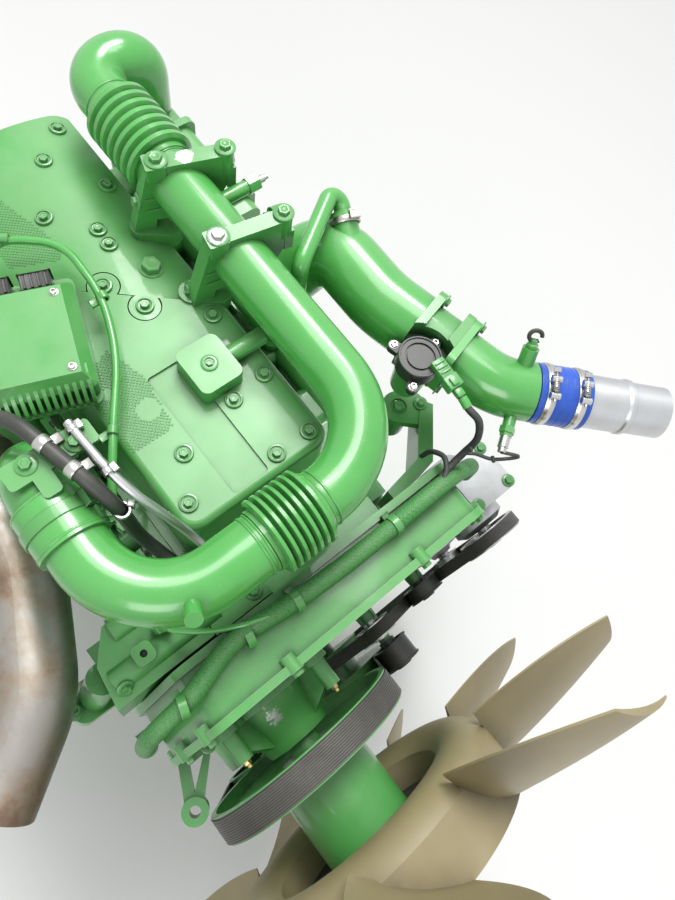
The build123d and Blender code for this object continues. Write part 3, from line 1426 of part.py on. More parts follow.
# Air compressor: crankcase with its arm, finned cylinder and head
compressor_y, compressor_z = accessory_pulleys[2][1:3]
fin_count = 6
with BuildPart() as compressor:
    with BuildSketch(Plane(origin=(accessory_front, compressor_y, compressor_z), x_dir=(-1, 0, 0), z_dir=(0, 1, 0))):
        with BuildLine():
            Polyline((0, 0), (0, 40), (10, 56), (146, 56), (160, 44), (160, 0), close=True)
        make_face()
    revolve(axis=Axis((0, compressor_y, compressor_z), (1, 0, 0)))
    with BuildSketch(Plane.XY.offset(compressor_z)):
        with Locations((accessory_front - 84, compressor_y)):
            Circle(40)
    extrude(amount=124)
    for fin in range(fin_count):
        with BuildSketch(Plane.XY.offset(compressor_z + 60 + 9 * fin)):
            with Locations((accessory_front - 84, compressor_y)):
                RectangleRounded(104, 104, 20)
        extrude(amount=3)
    with BuildSketch(Plane.XY.offset(compressor_z + 60 + 9 * fin_count)):
        with Locations((accessory_front - 84, compressor_y)):
            RectangleRounded(108, 100, 18)
    extrude(amount=26)
    with BuildSketch(Plane.YZ.offset(gear_front - 20)):
        with Locations((compressor_y - 60, compressor_z)):
            Rectangle(70, 64)
    extrude(amount=-60)
    add(gear_housing.part, mode=Mode.SUBTRACT)
save(compressor, "compressor")

# Feet that the machine's rubber mounts hold, one on each side, with a middle gusset
foot_rear = block_front - 200.0
foot_length = 110.0
foot_hole_y = skirt_half_width + 168.0
foot_top = pan_rail_height + 65.0
foot_plate = 22.0
with BuildPart() as engine_feet:
    for side in (1, -1):
        with BuildSketch(Plane.YZ.offset(foot_rear)):
            with BuildLine():
                Polyline(
                    (side * skirt_half_width, foot_top - 40),
                    (side * skirt_half_width, foot_top + 80),
                    (side * (skirt_half_width + rib_depth + 10), foot_top + 80),
                    (side * (skirt_half_width + 60), foot_top),
                    (side * (skirt_half_width + 190), foot_top),
                    (side * (skirt_half_width + 190), foot_top - foot_plate),
                    (side * (skirt_half_width + 120), foot_top - foot_plate),
                    close=True,
                )
            make_face()
        extrude(amount=foot_length)
        for gusset_x in (foot_rear, foot_rear + foot_length - 12):
            with BuildSketch(Plane.YZ.offset(gusset_x)):
                with BuildLine():
                    Polyline(
                        (side * skirt_half_width, foot_top),
                        (side * skirt_half_width, foot_top + 80),
                        (side * (skirt_half_width + rib_depth + 24), foot_top + 80),
                        (side * (skirt_half_width + 140), foot_top),
                        close=True,
                    )
                make_face()
            extrude(amount=12)
    with BuildSketch(Plane.XY.offset(foot_top)):
        with Locations((foot_rear + foot_length / 2, foot_hole_y), (foot_rear + foot_length / 2, -foot_hole_y)):
            Circle(11)
    extrude(amount=-foot_plate - 8, mode=Mode.SUBTRACT)
    add(cylinder_block.part, mode=Mode.SUBTRACT)
save(engine_feet, "engine_feet")

# Front bracket: pad on the intake manifold with a bent wall to the gear housing's rear lip;
# rear bracket: plate with a lifting eye on the block's rear face
bracket_wall = 22.0
bracket_height = 84.0
eye_y = -86.0
eye_z = head_top + 52.0
with BuildPart() as lifting_brackets:
    with BuildSketch(Plane.XY.offset(intake_top + seat_gap)):
        with Locations(bracket_foot):
            Circle(30)
        with BuildLine():
            Polyline(
                (bracket_foot[0] - 28, bracket_foot[1] + 8), (bracket_foot[0] + 2, bracket_foot[1] + 46),
                (bracket_foot[0] + 38, bracket_foot[1] + 50), (bracket_foot[0] + 60, bracket_foot[1] + 20),
                (bracket_foot[0] + 20, bracket_foot[1] - 22), close=True,
            )
        make_face()
    extrude(amount=18)
    with BuildSketch(Plane.XY.offset(intake_top + seat_gap + 18)):
        with Locations(bracket_foot):
            Circle(15)
    extrude(amount=-5, mode=Mode.SUBTRACT)
    with BuildSketch(Plane.XY.offset(intake_top + 20)):
        with BuildLine():
            wall_knee = (block_front - 26.0, 282.0)
            Polyline(
                (bracket_foot[0] + 14, bracket_foot[1] + 40), (bracket_foot[0] + 34, bracket_foot[1] + 54),
                (wall_knee[0] + 12, wall_knee[1] + 8), (block_front - seat_gap, 190),
                (block_front - bracket_wall, 190), (wall_knee[0] - 8, wall_knee[1] - 12), close=True,
            )
        make_face()
    extrude(amount=-bracket_height)
    add(intake_manifold.part, mode=Mode.SUBTRACT)
    add(gear_housing.part, mode=Mode.SUBTRACT)
    with BuildSketch(Plane.YZ.offset(block_rear - seat_gap)):
        with BuildLine():
            Polyline(
                (eye_y - 34, deck_height + 40), (eye_y + 36, deck_height + 40), (eye_y + 36, eye_z - 32),
                (eye_y + 16, eye_z + 28), (eye_y - 19, eye_z + 28), (eye_y - 34, eye_z - 2), close=True,
            )
        make_face()
        with Locations((eye_y, eye_z)):
            Circle(16, mode=Mode.SUBTRACT)
    extrude(amount=-14)
save(lifting_brackets, "lifting_brackets")

# Water outlet: low casting over the manifold's front end, with two rounded ridges, a drilled
# boss, a side neck with its flange and the pads of three bolts
water_top = head_top + 60.0
water_bottom = manifold_z + manifold_radius + 8
water_boss = (block_front - 46.0, -266.0)
with BuildPart() as water_outlet:
    with BuildSketch(Plane.XY.offset(water_bottom)):
        with BuildLine():
            Polyline(
                (block_front - seat_gap, -344), (block_front - seat_gap, -168), (block_front - 122, -168),
                (block_front - 122, -296), (block_front - 74, -334), close=True,
            )
        make_face()
    extrude(amount=water_top - water_bottom, taper=5)
    with BuildSketch(Plane.XY.offset(head_top + seat_gap)):
        with BuildLine():
            Polyline(
                (block_front - seat_gap, -176), (block_front - seat_gap, -66), (block_front - 62, -66),
                (block_front - 104, -110), (block_front - 104, -176), close=True,
            )
        make_face()
    extrude(amount=water_top - head_top - seat_gap, taper=4)
    for ridge_x, ridge_start, ridge_end in ((block_front - 102.0, -286, -120), (block_front - 40.0, -322, -150)):
        with BuildSketch(Plane.XZ.offset(-ridge_end)):
            with Locations((ridge_x, water_top - 12)):
                Circle(22)
        extrude(amount=ridge_end - ridge_start)
    with BuildSketch(Plane.XY.offset(water_top)):
        with Locations(water_boss):
            RectangleRounded(30, 30, 9)
    extrude(amount=20)
    with BuildSketch(Plane.XY.offset(water_top + 20)):
        with Locations(water_boss):
            Circle(5.5)
    extrude(amount=-16, mode=Mode.SUBTRACT)
    neck_top = Vector(block_front - 58, -332, water_top - 26)
    neck_down = Vector(0.05, -0.40, -1)
    with BuildSketch(Plane(origin=neck_top, z_dir=neck_down)):
        Circle(24)
    extrude(amount=96)
    with BuildSketch(Plane(origin=neck_top + neck_down.normalized() * 82, z_dir=neck_down)):
        RectangleRounded(84, 60, 20)
    extrude(amount=14)
save(water_outlet, "water_outlet")


def easy_bends(points):
    # Radius at each corner: the largest that the shorter run beside it allows
    bends = []
    for before, corner, after in zip(points, points[1:], points[2:]):
        run_in = Vector(corner) - Vector(before)
        run_out = Vector(after) - Vector(corner)
        half_turn = math.radians(run_in.get_angle(run_out) / 2)
        bends.append(0.45 * min(run_in.length, run_out.length) / math.tan(half_turn))
    print("bend radii", [round(bend) for bend in bends])
    return bends


def clipped_line(points, outer):
    with BuildPart() as line:
        with BuildLine() as route:
            FilletPolyline(*points, radius=easy_bends(points))
        with BuildSketch(Plane(origin=route.line @ 0, z_dir=route.line % 0)):
            Circle(outer)
        sweep(path=route.line)
    route_length = sum(edge.length for edge in route.edges())
    share = line.part.volume / (math.pi * outer**2 * route_length)
    print("length", round(route_length), "volume share", round(share, 4))
    return line


# Wiring loom across the gear housing, clipped along its back edge
loom_radius = 14.0
loom_height = gear_housing_top + gear_lip_width + loom_radius - 1.0
wiring_loom = clipped_line(
    ((block_front + 56, -349, 400), (block_front + 54, -347, 480), (block_front + 50, -318, loom_height - 21),
     (block_front + 44, -245, loom_height + 3), (block_front + 16, -165, loom_height), (block_front + 30, -50, loom_height),
     (block_front + 34, 60, loom_height + 1), (block_front + 32, 165, loom_height),
     (block_front + 30, 250, loom_height + 5), (block_front + 34, 326, loom_height - 52), (block_front + 34, 346, loom_height - 142)),
    loom_radius,
)
save(wiring_loom, "wiring_loom")

# Breather line over the rocker covers
line_radius = 6.0
over_unit = cover_top + 44.0
breather_line = clipped_line(
    ((318, -156, head_top + seat_gap), (318, -160, head_top + 100), (322, -150, cover_top + 20), (350, -88, over_unit),
     (400, -24, over_unit), (508, -26, over_unit), (600, -62, over_unit), (690, -128, cover_top + 42),
     (770, -186, cover_top + 24), (796, -190, head_top + 110), (790, -170, head_top + 30)),
    line_radius,
)
save(breather_line, "breather_line")

# Clip plate on the gas riser, with the two hoses and the vent line that it holds
clip_plate_top = gas_height + gas_radius + 9.0
with BuildPart() as hose_clip_plate:
    with BuildSketch(Plane.XY.offset(clip_plate_top)):
        with Locations((gas_riser_x + 34, -212)):
            RectangleRounded(34, 118, 6)
        with Locations((gas_riser_x + 60, -232)):
            RectangleRounded(40, 24, 6)
    extrude(amount=-6)
    with BuildSketch(Plane.XY.offset(clip_plate_top)):
        with Locations((gas_riser_x + 34, -248)):
            Rectangle(34, 30)
    extrude(amount=-51)
    add(gas_riser.part, mode=Mode.SUBTRACT)
    add(crossover_pipe.part, mode=Mode.SUBTRACT)
save(hose_clip_plate, "hose_clip_plate")

over_clips = clip_plate_top + 12.0
with BuildPart() as coolant_hoses:
    add(clipped_line(
        ((560, -296, over_clips - 141), (600, -266, over_clips - 73), (640, -226, over_clips), (764, -196, over_clips),
         (806, -184, over_clips - 35), (812, -180, water_top + 80), (850, -164, water_top + 12), (900, -146, water_top - 12)),
        10.0,
    ).part)
    add(water_outlet.part, mode=Mode.SUBTRACT)
save(coolant_hoses, "coolant_hoses")

with BuildPart() as vent_line:
    add(clipped_line(
        ((918, -108, water_top - 10), (916, -110, water_top + 78), (858, -132, over_clips - 92),
         (790, -168, clip_plate_top + line_radius + seat_gap), (690, -174, clip_plate_top + line_radius + seat_gap)),
        line_radius,
    ).part)
    add(water_outlet.part, mode=Mode.SUBTRACT)
save(vent_line, "vent_line")

# Support bracket: open triangular frame with a boss, on the gear housing's exhaust side
support_z = 385.0
support_reach = 72.0
support_boss_y = -346.0
support_thickness = 24.0
with BuildPart() as front_support_bracket:
    with BuildSketch(Plane.XY.offset(support_z)):
        with BuildLine():
            Polyline(
                (gear_front + seat_gap, -328),
                (gear_front + seat_gap, -262),
                (gear_front + support_reach, support_boss_y + 16),
                (gear_front + support_reach, support_boss_y - 16),
                close=True,
            )
        make_face()
        with BuildLine():
            Polyline(
                (gear_front + 14, -316),
                (gear_front + 14, -290),
                (gear_front + support_reach - 22, support_boss_y + 14),
                close=True,
            )
        make_face(mode=Mode.SUBTRACT)
    extrude(amount=support_thickness)
    with BuildSketch(Plane.XY.offset(support_z - 6)):
        with Locations((gear_front + support_reach, support_boss_y)):
            Circle(21)
    extrude(amount=support_thickness + 12)
    with BuildSketch(Plane.XY.offset(support_z - 6)):
        with Locations((gear_front + support_reach, support_boss_y)):
            Circle(9)
    extrude(amount=support_thickness + 12, mode=Mode.SUBTRACT)
    add(gear_housing.part, mode=Mode.SUBTRACT)
save(front_support_bracket, "front_support_bracket")
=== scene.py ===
# Looks of the six-cylinder diesel engine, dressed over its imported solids.
import math

import bmesh
import bpy
from mathutils import Matrix, Vector


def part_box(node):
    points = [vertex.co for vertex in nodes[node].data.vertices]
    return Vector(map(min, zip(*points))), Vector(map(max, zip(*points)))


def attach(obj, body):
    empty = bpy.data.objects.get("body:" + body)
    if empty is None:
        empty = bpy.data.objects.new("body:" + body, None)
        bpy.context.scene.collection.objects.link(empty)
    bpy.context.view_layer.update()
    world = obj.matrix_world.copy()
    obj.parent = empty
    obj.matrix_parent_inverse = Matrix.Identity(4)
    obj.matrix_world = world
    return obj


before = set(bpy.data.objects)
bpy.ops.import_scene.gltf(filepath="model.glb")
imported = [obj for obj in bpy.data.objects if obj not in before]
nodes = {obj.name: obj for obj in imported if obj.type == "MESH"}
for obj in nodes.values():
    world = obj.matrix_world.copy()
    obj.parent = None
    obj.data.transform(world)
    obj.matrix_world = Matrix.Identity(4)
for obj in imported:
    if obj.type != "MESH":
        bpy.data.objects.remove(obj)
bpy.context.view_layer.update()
mm = 0.001  # the tables below are in millimetres
print("frame loaded,", len(nodes), "solids")


# Shader groups, each built once
def feed(tree, socket, item):  # item: a number, a colour or another node's output
    if isinstance(item, (int, float)):
        socket.default_value = item
    elif isinstance(item, tuple):
        socket.default_value = item + (1,)
    else:
        tree.links.new(item, socket)


def startGroup(name, inputs, *outputs):  # inputs: label and default, a number or a vector
    group = bpy.data.node_groups.new(name, "ShaderNodeTree")
    for label, value in inputs.items():
        kind = "NodeSocketVector" if isinstance(value, tuple) else "NodeSocketFloat"
        group.interface.new_socket(name=label, in_out="INPUT", socket_type=kind).default_value = value
    for label in outputs:
        group.interface.new_socket(name=label, in_out="OUTPUT", socket_type="NodeSocketFloat")
    entry = group.nodes.new("NodeGroupInput")
    return group, entry.outputs, group.nodes.new("NodeGroupOutput").inputs


def objectPlace(tree):
    return tree.nodes.new("ShaderNodeTexCoord").outputs["Object"]


def addMath(tree, operation, *items, clamp=False):
    node = tree.nodes.new("ShaderNodeMath")
    node.operation = operation
    node.use_clamp = clamp
    for socket, item in zip(node.inputs, items):
        feed(tree, socket, item)
    return node.outputs[0]


def addVectorMath(tree, operation, first, second, result="Value"):
    node = tree.nodes.new("ShaderNodeVectorMath")
    node.operation = operation
    tree.links.new(first, node.inputs[0])
    tree.links.new(second, node.inputs[1])
    return node.outputs[result]


def addNoise(tree, scale, detail, roughness, place=None):
    noise = tree.nodes.new("ShaderNodeTexNoise")
    feed(tree, noise.inputs["Scale"], scale)
    feed(tree, noise.inputs["Detail"], detail)
    feed(tree, noise.inputs["Roughness"], roughness)
    feed(tree, noise.inputs["Vector"], objectPlace(tree) if place is None else place)
    return noise.outputs["Fac"]


def mixColour(tree, factor, first, second):
    node = tree.nodes.new("ShaderNodeMix")
    node.data_type = "RGBA"
    feed(tree, node.inputs["Factor"], factor)
    feed(tree, node.inputs[6], first)
    feed(tree, node.inputs[7], second)
    return node.outputs[2]


def makeEdgeWear():  # bare edges, broken into patches
    group, given, result = startGroup(
        "edge wear", {"Width": 0.0015, "Amount": 0.5, "Patch Scale": 60.0}, "Mask")
    bevel = group.nodes.new("ShaderNodeBevel")
    bevel.samples = 4
    group.links.new(given["Width"], bevel.inputs["Radius"])
    normal = group.nodes.new("ShaderNodeNewGeometry").outputs["Normal"]
    dot = addVectorMath(group, "DOT_PRODUCT", bevel.outputs["Normal"], normal)
    turned = addMath(group, "SUBTRACT", 1.0, dot)
    patches = addNoise(group, given["Patch Scale"], 4.0, 0.65)
    raised = addMath(group, "MULTIPLY_ADD", patches, 2.4, -0.80)
    edge = addMath(group, "MULTIPLY", turned, 11.0)
    worn = addMath(group, "MULTIPLY", edge, raised, clamp=True)
    feed(group, result["Mask"], addMath(group, "MULTIPLY", worn, given["Amount"], clamp=True))
    return group


def makeCreviceShadeAndGrime():  # painted shade in the hollows, broken by noise, with some grime
    group, given, result = startGroup("crevice grime", {"Reach": 0.03, "Amount": 0.7}, "Mask")
    hollow = group.nodes.new("ShaderNodeAmbientOcclusion")
    hollow.samples = 6
    group.links.new(given["Reach"], hollow.inputs["Distance"])
    closed = addMath(group, "SUBTRACT", 1.0, hollow.outputs["AO"])
    cloud = addMath(group, "MULTIPLY_ADD", addNoise(group, 38.0, 5.0, 0.65), 1.5, 0.25)
    broken = addMath(group, "MULTIPLY", closed, cloud)
    feed(group, result["Mask"], addMath(group, "MULTIPLY", broken, given["Amount"], clamp=True))
    return group


def makeSettledDust():  # lies in patches where the surface faces up
    group, given, result = startGroup("settled dust", {"Amount": 0.4, "Patch Scale": 9.0}, "Mask")
    normal = group.nodes.new("ShaderNodeSeparateXYZ")
    group.links.new(group.nodes.new("ShaderNodeNewGeometry").outputs["Normal"], normal.inputs[0])
    facing = group.nodes.new("ShaderNodeMapRange")
    facing.inputs["From Min"].default_value = 0.35
    facing.inputs["From Max"].default_value = 1.0
    group.links.new(normal.outputs["Z"], facing.inputs["Value"])
    cloud = addMath(group, "MULTIPLY_ADD", addNoise(group, given["Patch Scale"], 6.0, 0.6), 2.2, -0.60)
    specks = addMath(group, "MULTIPLY_ADD", addNoise(group, 420.0, 3.0, 0.7), 1.1, 0.25)
    layer = addMath(group, "MULTIPLY", cloud, specks)
    lying = addMath(group, "MULTIPLY", layer, facing.outputs["Result"], clamp=True)
    feed(group, result["Mask"], addMath(group, "MULTIPLY", lying, given["Amount"], clamp=True))
    return group


def makeSurfaceGrain():
    group, given, result = startGroup(
        "surface grain", {"Fine Scale": 500.0, "Fine Depth": 0.1, "Wave Scale": 40.0, "Wave Depth": 0.2},
        "Height", "Tone")
    small = addMath(group, "MULTIPLY", addNoise(group, given["Fine Scale"], 3.0, 0.6), given["Fine Depth"])
    large = addMath(group, "MULTIPLY", addNoise(group, given["Wave Scale"], 2.0, 0.5), given["Wave Depth"])
    feed(group, result["Height"], addMath(group, "ADD", small, large))
    feed(group, result["Tone"], addNoise(group, 7.0, 5.0, 0.6))
    return group


def makeDrawnLines():
    group, given, result = startGroup("drawn lines", {"Stretch": (1.0, 1.0, 1.0), "Scale": 300.0}, "Lines")
    stretched = addVectorMath(group, "MULTIPLY", objectPlace(group), given["Stretch"], "Vector")
    feed(group, result["Lines"], addNoise(group, given["Scale"], 4.0, 0.7, stretched))
    return group


def makeBraid():
    group, given, result = startGroup("braided sleeve", {"Strand Scale": 260.0}, "Height", "Gap")
    cells = group.nodes.new("ShaderNodeTexVoronoi")
    cells.distance = "CHEBYCHEV"
    cells.inputs["Randomness"].default_value = 0.25
    turn = group.nodes.new("ShaderNodeMapping")
    turn.inputs["Rotation"].default_value = (0.6, 0.5, 0.78)
    group.links.new(objectPlace(group), turn.inputs["Vector"])
    group.links.new(turn.outputs[0], cells.inputs["Vector"])
    group.links.new(given["Strand Scale"], cells.inputs["Scale"])
    away = cells.outputs["Distance"]
    feed(group, result["Height"], addMath(group, "SUBTRACT", 1.0, away, clamp=True))
    feed(group, result["Gap"], addMath(group, "MULTIPLY_ADD", away, 2.6, -0.9, clamp=True))
    return group


def makeRubbedPatch():  # share of bare metal round one place where tools and parts have rubbed
    group, given, result = startGroup("rubbed patch", {"Centre": (0.0, 0.0, 0.0), "Reach": 0.02}, "Mask")
    away = addVectorMath(group, "DISTANCE", objectPlace(group), given["Centre"])
    near = addMath(group, "MULTIPLY", addMath(group, "DIVIDE", away, given["Reach"]), -3.0)
    ragged = addMath(group, "MULTIPLY_ADD", addNoise(group, 150.0, 5.0, 0.7), 3.2, near)
    feed(group, result["Mask"], addMath(group, "MULTIPLY_ADD", ragged, 2.5, 1.2, clamp=True))
    return group


edgeWear = makeEdgeWear()
creviceShadeAndGrime = makeCreviceShadeAndGrime()
settledDust = makeSettledDust()
surfaceGrain = makeSurfaceGrain()
drawnLines = makeDrawnLines()
braidedSleeve = makeBraid()
rubbedPatch = makeRubbedPatch()
print("shader groups made")


# Materials
def startMaterial(name, shaderValues):
    material = bpy.data.materials.new(name)
    material.use_nodes = True
    tree = material.node_tree
    shader = tree.nodes["Principled BSDF"]
    for label, value in shaderValues.items():
        shader.inputs[label].default_value = value
    return material, tree, shader.inputs


def useGroup(tree, group, **values):
    node = tree.nodes.new("ShaderNodeGroup")
    node.node_tree = group
    for label, value in values.items():
        node.inputs[label.replace("_", " ")].default_value = value
    return node.outputs


def addBump(tree, surface, height, strength, distance):
    bump = tree.nodes.new("ShaderNodeBump")
    bump.inputs["Strength"].default_value = strength
    bump.inputs["Distance"].default_value = distance
    tree.links.new(height, bump.inputs["Height"])
    tree.links.new(bump.outputs["Normal"], surface["Normal"])


soil = {  # colours of dust and of the painted shade with grime in the hollows, scale of the dust's patches, reach of that painted shade in metres
    "paint": dict(dusty=(0.36, 0.43, 0.31), shadeAndGrimeColour=(0.010, 0.030, 0.010), patches=11.0, reach=0.035),
    "metal": dict(dusty=(0.36, 0.37, 0.31), shadeAndGrimeColour=(0.03, 0.03, 0.025), patches=14.0, reach=0.02),
    "moulded": dict(dusty=(0.34, 0.34, 0.28), shadeAndGrimeColour=(0.012, 0.012, 0.010), patches=12.0, reach=0.04),
    "sleeve": dict(dusty=(0.36, 0.40, 0.30), shadeAndGrimeColour=(0.010, 0.022, 0.010), patches=16.0, reach=0.02),
}


def addSoil(tree, colour, kind, dust, shadeAndGrime):  # dust, and painted shade with grime in the hollows: their shares
    look = soil[kind]
    dustMask = useGroup(tree, settledDust, Amount=dust, Patch_Scale=look["patches"])["Mask"]
    shadeAndGrimeMask = useGroup(tree, creviceShadeAndGrime, Reach=look["reach"], Amount=shadeAndGrime)["Mask"]
    dusty = mixColour(tree, dustMask, colour, look["dusty"])
    return mixColour(tree, shadeAndGrimeMask, dusty, look["shadeAndGrimeColour"]), dustMask, shadeAndGrimeMask


paintLooks = {  # name: enamel colour, shares of dust, painted shade with grime in the hollows, and worn edge, depths of grain and wave
    "green enamel on castings": dict(colour=(0.052, 0.345, 0.050), dust=0.24, shadeAndGrime=0.85, fine=0.75,
                                     wave=0.6, wear=0.55, rough=0.30),
    "green enamel on covers": dict(colour=(0.062, 0.375, 0.060), dust=0.34, shadeAndGrime=0.75, fine=0.22,
                                   wave=0.4, wear=0.45, rough=0.24),
    "green enamel on pipes": dict(colour=(0.062, 0.410, 0.058), dust=0.16, shadeAndGrime=0.75, fine=0.10,
                                  wave=0.35, wear=0.25, rough=0.17),
    # painted shade: a darker copy of the castings' enamel, given to the lower and side parts
    "shaded green enamel": dict(colour=(0.040, 0.260, 0.042), dust=0.14, shadeAndGrime=0.90, fine=0.55,
                                wave=0.6, wear=0.45, rough=0.38),
    "cream enamel": dict(colour=(0.62, 0.60, 0.50), dust=0.25, shadeAndGrime=0.60, fine=0.10,
                         wave=0.3, wear=0.15, rough=0.32),
}
wornEnamel = (0.36, 0.55, 0.33)
rubbed = {  # bare metal on the bracket's pad and arm and on the fan drive housing: centre and reach
    "colour": (0.50, 0.50, 0.50), "metallic": 0.9,
    "places": [((568, 132, 794), 22), ((428, 176, 794), 20), ((1140, -175, 440), 34), ((1062, 60, 600), 10)],
}


def addRubbedPlaces(tree, surface, colour):
    share = 0.0
    for centre, reach in rubbed["places"]:
        place = tuple(value * mm for value in centre)
        patch = useGroup(tree, rubbedPatch, Centre=place, Reach=reach * mm)["Mask"]
        share = addMath(tree, "MAXIMUM", share, patch)
    feed(tree, surface["Metallic"], addMath(tree, "MULTIPLY", share, rubbed["metallic"]))
    return mixColour(tree, share, colour, rubbed["colour"])


def makePaint(name, look):
    material, tree, surface = startMaterial(name, {"Coat Roughness": 0.08, "Specular IOR Level": 0.55})
    grain = useGroup(tree, surfaceGrain, Fine_Scale=520.0, Fine_Depth=look["fine"], Wave_Scale=48.0,
                     Wave_Depth=look["wave"])
    wear = useGroup(tree, edgeWear, Width=0.0016, Amount=look["wear"], Patch_Scale=70.0)["Mask"]
    red, green, blue = look["colour"]
    faded = (red * 1.7 + 0.012, green * 1.20, blue * 1.7 + 0.012)
    deep = (red * 0.70, green * 0.80, blue * 0.70)
    worn = mixColour(tree, wear, mixColour(tree, grain["Tone"], deep, faded), wornEnamel)
    # dust, and painted shade with grime in the hollows, over the worn enamel
    colour, dust, shadeAndGrime = addSoil(tree, worn, "paint", look["dust"], look["shadeAndGrime"])
    if "castings" in name:
        colour = addRubbedPlaces(tree, surface, colour)
    feed(tree, surface["Base Color"], colour)
    rough = addMath(tree, "MULTIPLY_ADD", dust, 0.8, look["rough"])
    rough = addMath(tree, "MULTIPLY_ADD", shadeAndGrime, 0.25, rough)
    feed(tree, surface["Roughness"], addMath(tree, "MULTIPLY_ADD", grain["Tone"], 0.12, rough, clamp=True))
    feed(tree, surface["Coat Weight"], addMath(tree, "MULTIPLY_ADD", dust, -1.0, 0.55, clamp=True))
    addBump(tree, surface, grain["Height"], 0.40, 0.0006)
    return material


metalLooks = {  # name: metal colour, roughness, stretch of the drawn lines, their share, stain colour
    "bare aluminium": dict(colour=(0.66, 0.67, 0.69), rough=0.32, stretch=(0.06, 1.0, 1.0), bright=0.10,
                           stain=(0.42, 0.42, 0.41)),
    "cast aluminium": dict(colour=(0.50, 0.51, 0.52), rough=0.46, stretch=(1.0, 1.0, 1.0), bright=0.10,
                           stain=(0.30, 0.30, 0.29)),
    "machined steel": dict(colour=(0.56, 0.56, 0.57), rough=0.26, stretch=(1.0, 0.15, 0.15), bright=0.08,
                           stain=(0.34, 0.31, 0.27)),
    "zinc plated steel": dict(colour=(0.66, 0.66, 0.65), rough=0.22, stretch=(1.0, 1.0, 1.0), bright=0.10,
                              stain=(0.46, 0.43, 0.36)),
    "brass": dict(colour=(0.72, 0.50, 0.20), rough=0.28, stretch=(1.0, 1.0, 1.0), bright=0.10,
                  stain=(0.35, 0.24, 0.10)),
    "bare cast iron": dict(colour=(0.24, 0.22, 0.20), rough=0.62, stretch=(1.0, 1.0, 1.0), bright=0.14,
                           stain=(0.20, 0.11, 0.06)),
}


def makeMetal(name, look):
    material, tree, surface = startMaterial(name, {"Metallic": 1.0})
    lines = useGroup(tree, drawnLines, Stretch=look["stretch"], Scale=520.0)["Lines"]
    grain = useGroup(tree, surfaceGrain, Fine_Scale=900.0, Fine_Depth=0.25, Wave_Scale=60.0, Wave_Depth=0.3)
    streak = addMath(tree, "MULTIPLY_ADD", lines, look["bright"] * 2, -look["bright"])
    stained = addMath(tree, "MULTIPLY_ADD", grain["Tone"], 1.8, -0.68, clamp=True)
    metal = mixColour(tree, stained, look["colour"], look["stain"])
    # dust, and painted shade with grime in the hollows
    feed(tree, surface["Base Color"], addSoil(tree, metal, "metal", 0.30, 0.6)[0])
    rough = addMath(tree, "ADD", streak, look["rough"])
    feed(tree, surface["Roughness"], addMath(tree, "MULTIPLY_ADD", stained, 0.22, rough, clamp=True))
    addBump(tree, surface, addMath(tree, "MULTIPLY_ADD", lines, 0.5, grain["Height"]), 0.25, 0.0004)
    return material


mouldedLooks = {  # name: colour, roughness, depth of grain, share of dust
    "black hose rubber": dict(colour=(0.022, 0.024, 0.022), rough=0.42, fine=0.35, dust=0.30),
    "black moulded plastic": dict(colour=(0.034, 0.035, 0.036), rough=0.36, fine=0.5, dust=0.26),
    "blue silicone": dict(colour=(0.020, 0.100, 0.560), rough=0.30, fine=0.15, dust=0.10),
    "tan fan nylon": dict(colour=(0.31, 0.255, 0.140), rough=0.44, fine=0.40, dust=0.26),
}


def makeMoulded(name, look):
    material, tree, surface = startMaterial(name, {})
    grain = useGroup(tree, surfaceGrain, Fine_Scale=800.0, Fine_Depth=look["fine"], Wave_Scale=35.0,
                     Wave_Depth=0.4)
    wear = useGroup(tree, edgeWear, Width=0.0014, Amount=0.5, Patch_Scale=90.0)["Mask"]
    red, green, blue = look["colour"]
    body = mixColour(tree, grain["Tone"], (red * 0.72, green * 0.72, blue * 0.72),
                     (red * 1.3, green * 1.3, blue * 1.25))
    bare = mixColour(tree, wear, body, (red * 1.6 + 0.03, green * 1.6 + 0.03, blue * 1.5 + 0.03))
    # dust, and painted shade with grime in the hollows
    colour, dust, _ = addSoil(tree, bare, "moulded", look["dust"], 0.7)
    feed(tree, surface["Base Color"], colour)
    feed(tree, surface["Roughness"], addMath(tree, "MULTIPLY_ADD", dust, 0.6, look["rough"], clamp=True))
    addBump(tree, surface, grain["Height"], 0.3, 0.0005)
    return material


sleeveLooks = {  # name: colours of the thread and of the gaps between threads
    "painted sleeve": dict(thread=(0.055, 0.290, 0.058), gap=(0.012, 0.050, 0.014)),
    "black sleeve": dict(thread=(0.030, 0.032, 0.034), gap=(0.006, 0.006, 0.007)),
}


def makeSleeve(name, look):
    material, tree, surface = startMaterial(name, {})
    braid = useGroup(tree, braidedSleeve, Strand_Scale=300.0)
    woven = mixColour(tree, braid["Gap"], look["thread"], look["gap"])
    # dust, and painted shade with grime in the hollows
    feed(tree, surface["Base Color"], addSoil(tree, woven, "sleeve", 0.30, 0.7)[0])
    feed(tree, surface["Roughness"], addMath(tree, "MULTIPLY_ADD", braid["Gap"], 0.25, 0.42))
    addBump(tree, surface, braid["Height"], 0.9, 0.0014)
    return material


beltLook = dict(ribPitch=3.56, dark=(0.026, 0.025, 0.025), lit=(0.110, 0.102, 0.100),
                dust=(0.30, 0.29, 0.24))


